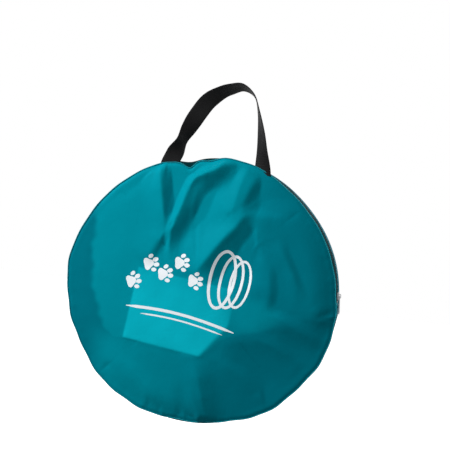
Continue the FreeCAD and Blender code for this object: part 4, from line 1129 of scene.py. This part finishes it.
def make_print():
    """A trail of paw marks that leads through three plain hoops, over two ground lines."""
    shapes = []
    size = 10.0
    for step in range(5):
        share = step / 4
        x, z = -102 + 22.5 * step, 4 + 24 * math.sin(math.pi * (0.1 + 0.62 * share)) + (9 if step % 2 else -9)
        turn = math.radians(-66 - 22 * share)
        shapes.append(blot(x, z, size * 0.82, size * 0.7, turn, 0.16))
        for aside, up, toe in TOES:
            dx, dz = turned(aside, up, turn)
            shapes.append(blot(x + size * dx, z + size * dz, size * toe, size * toe * 1.35,
                               turn - 0.35 * aside))
    for index in range(3):
        shapes.append(hoop(30 + 13 * index, 20 - 2 * index, 17 - 1.5 * index, 41 - 4 * index,
                           math.radians(-7), 4.4 - 0.4 * index))
    for drop, start, end, thick in ((0, 0.02, 1.0, 4.2), (-9, 0.16, 0.9, 2.4)):
        shapes.append(ribbon_of_ink([(-108 + 164 * t, -33 - 20 * t + 7 * math.sin(math.pi * t) + drop)
                                     for t in np.linspace(start, end, 60)], thick))
    points, faces = [], []
    for shape, patches in shapes:
        first = len(points)
        points.extend(shape)
        faces.extend(tuple(first + i for i in patch) for patch in patches)
    piece("printed_motif", on_front_cloth(points), faces, INK, "bag")


make_print()


# ---------------------------------------------------------------- studio

FLOOR = -0.72
LIGHT_AIM = Vector((-0.028, 0.02, -0.30))


def area_light(name, place, size, power):
    """A square softbox that faces the bag."""
    lamp = bpy.data.lights.new(name, "AREA")
    lamp.size = size
    lamp.energy = power
    made = bpy.data.objects.new(name, lamp)
    made.location = place
    made.rotation_mode = "QUATERNION"
    made.rotation_quaternion = (LIGHT_AIM - Vector(place)).to_track_quat("-Z", "Y")
    bpy.context.scene.collection.objects.link(made)


def make_studio():
    """A white surround and floor, a key light from the upper left, and weaker ones in front and behind."""
    scene = bpy.context.scene
    scene.view_settings.view_transform = "Standard"
    world = bpy.data.worlds.new("soft_white_surround")
    world.use_nodes = True
    tree = world.node_tree
    tree.nodes.clear()
    seen = add_node(tree, "ShaderNodeLightPath")
    ambient = add_node(tree, "ShaderNodeBackground", {"Color": (1, 1, 1, 1), "Strength": 0.17})
    clean = add_node(tree, "ShaderNodeBackground", {"Color": (1, 1, 1, 1), "Strength": 1.0})
    bright = add_node(tree, "ShaderNodeMath", {0: seen.outputs["Is Camera Ray"],
                      1: seen.outputs["Is Glossy Ray"]}, operation="MAXIMUM")
    both = add_node(tree, "ShaderNodeMixShader",
                    {0: bright.outputs["Value"], 1: ambient.outputs[0], 2: clean.outputs[0]})
    add_node(tree, "ShaderNodeOutputWorld", {"Surface": both.outputs[0]})
    scene.world = world
    floor_mesh = bpy.data.meshes.new("studio_floor")
    floor_mesh.from_pydata([(-6, -6, 0), (6, -6, 0), (6, 6, 0), (-6, 6, 0)], [], [(0, 1, 2, 3)])
    floor = bpy.data.objects.new("studio_floor", floor_mesh)
    floor.location.z = FLOOR
    scene.collection.objects.link(floor)
    pale, tree, place = new_material("pale_painted_floor")
    speckle = add_node(tree, "ShaderNodeTexNoise", {"Vector": place, "Scale": 3.0}).outputs["Fac"]
    tone = add_node(tree, "ShaderNodeMapRange", {"Value": speckle, "To Min": 0.96, "To Max": 1.0})
    surface(tree, {"Base Color": tone.outputs["Result"], "Emission Color": (1, 1, 1, 1),
                   "Emission Strength": 1.0})
    floor_mesh.materials.append(pale)
    floor.visible_diffuse = False
    floor.visible_glossy = False
    area_light("key_softbox", (-1.25, -0.95, 0.75), 0.6, 32)
    area_light("fill_softbox", (0.9, -1.9, 0.3), 1.4, 4)
    area_light("back_softbox", (0.9, 0.95, 0.95), 0.7, 20)


make_studio()
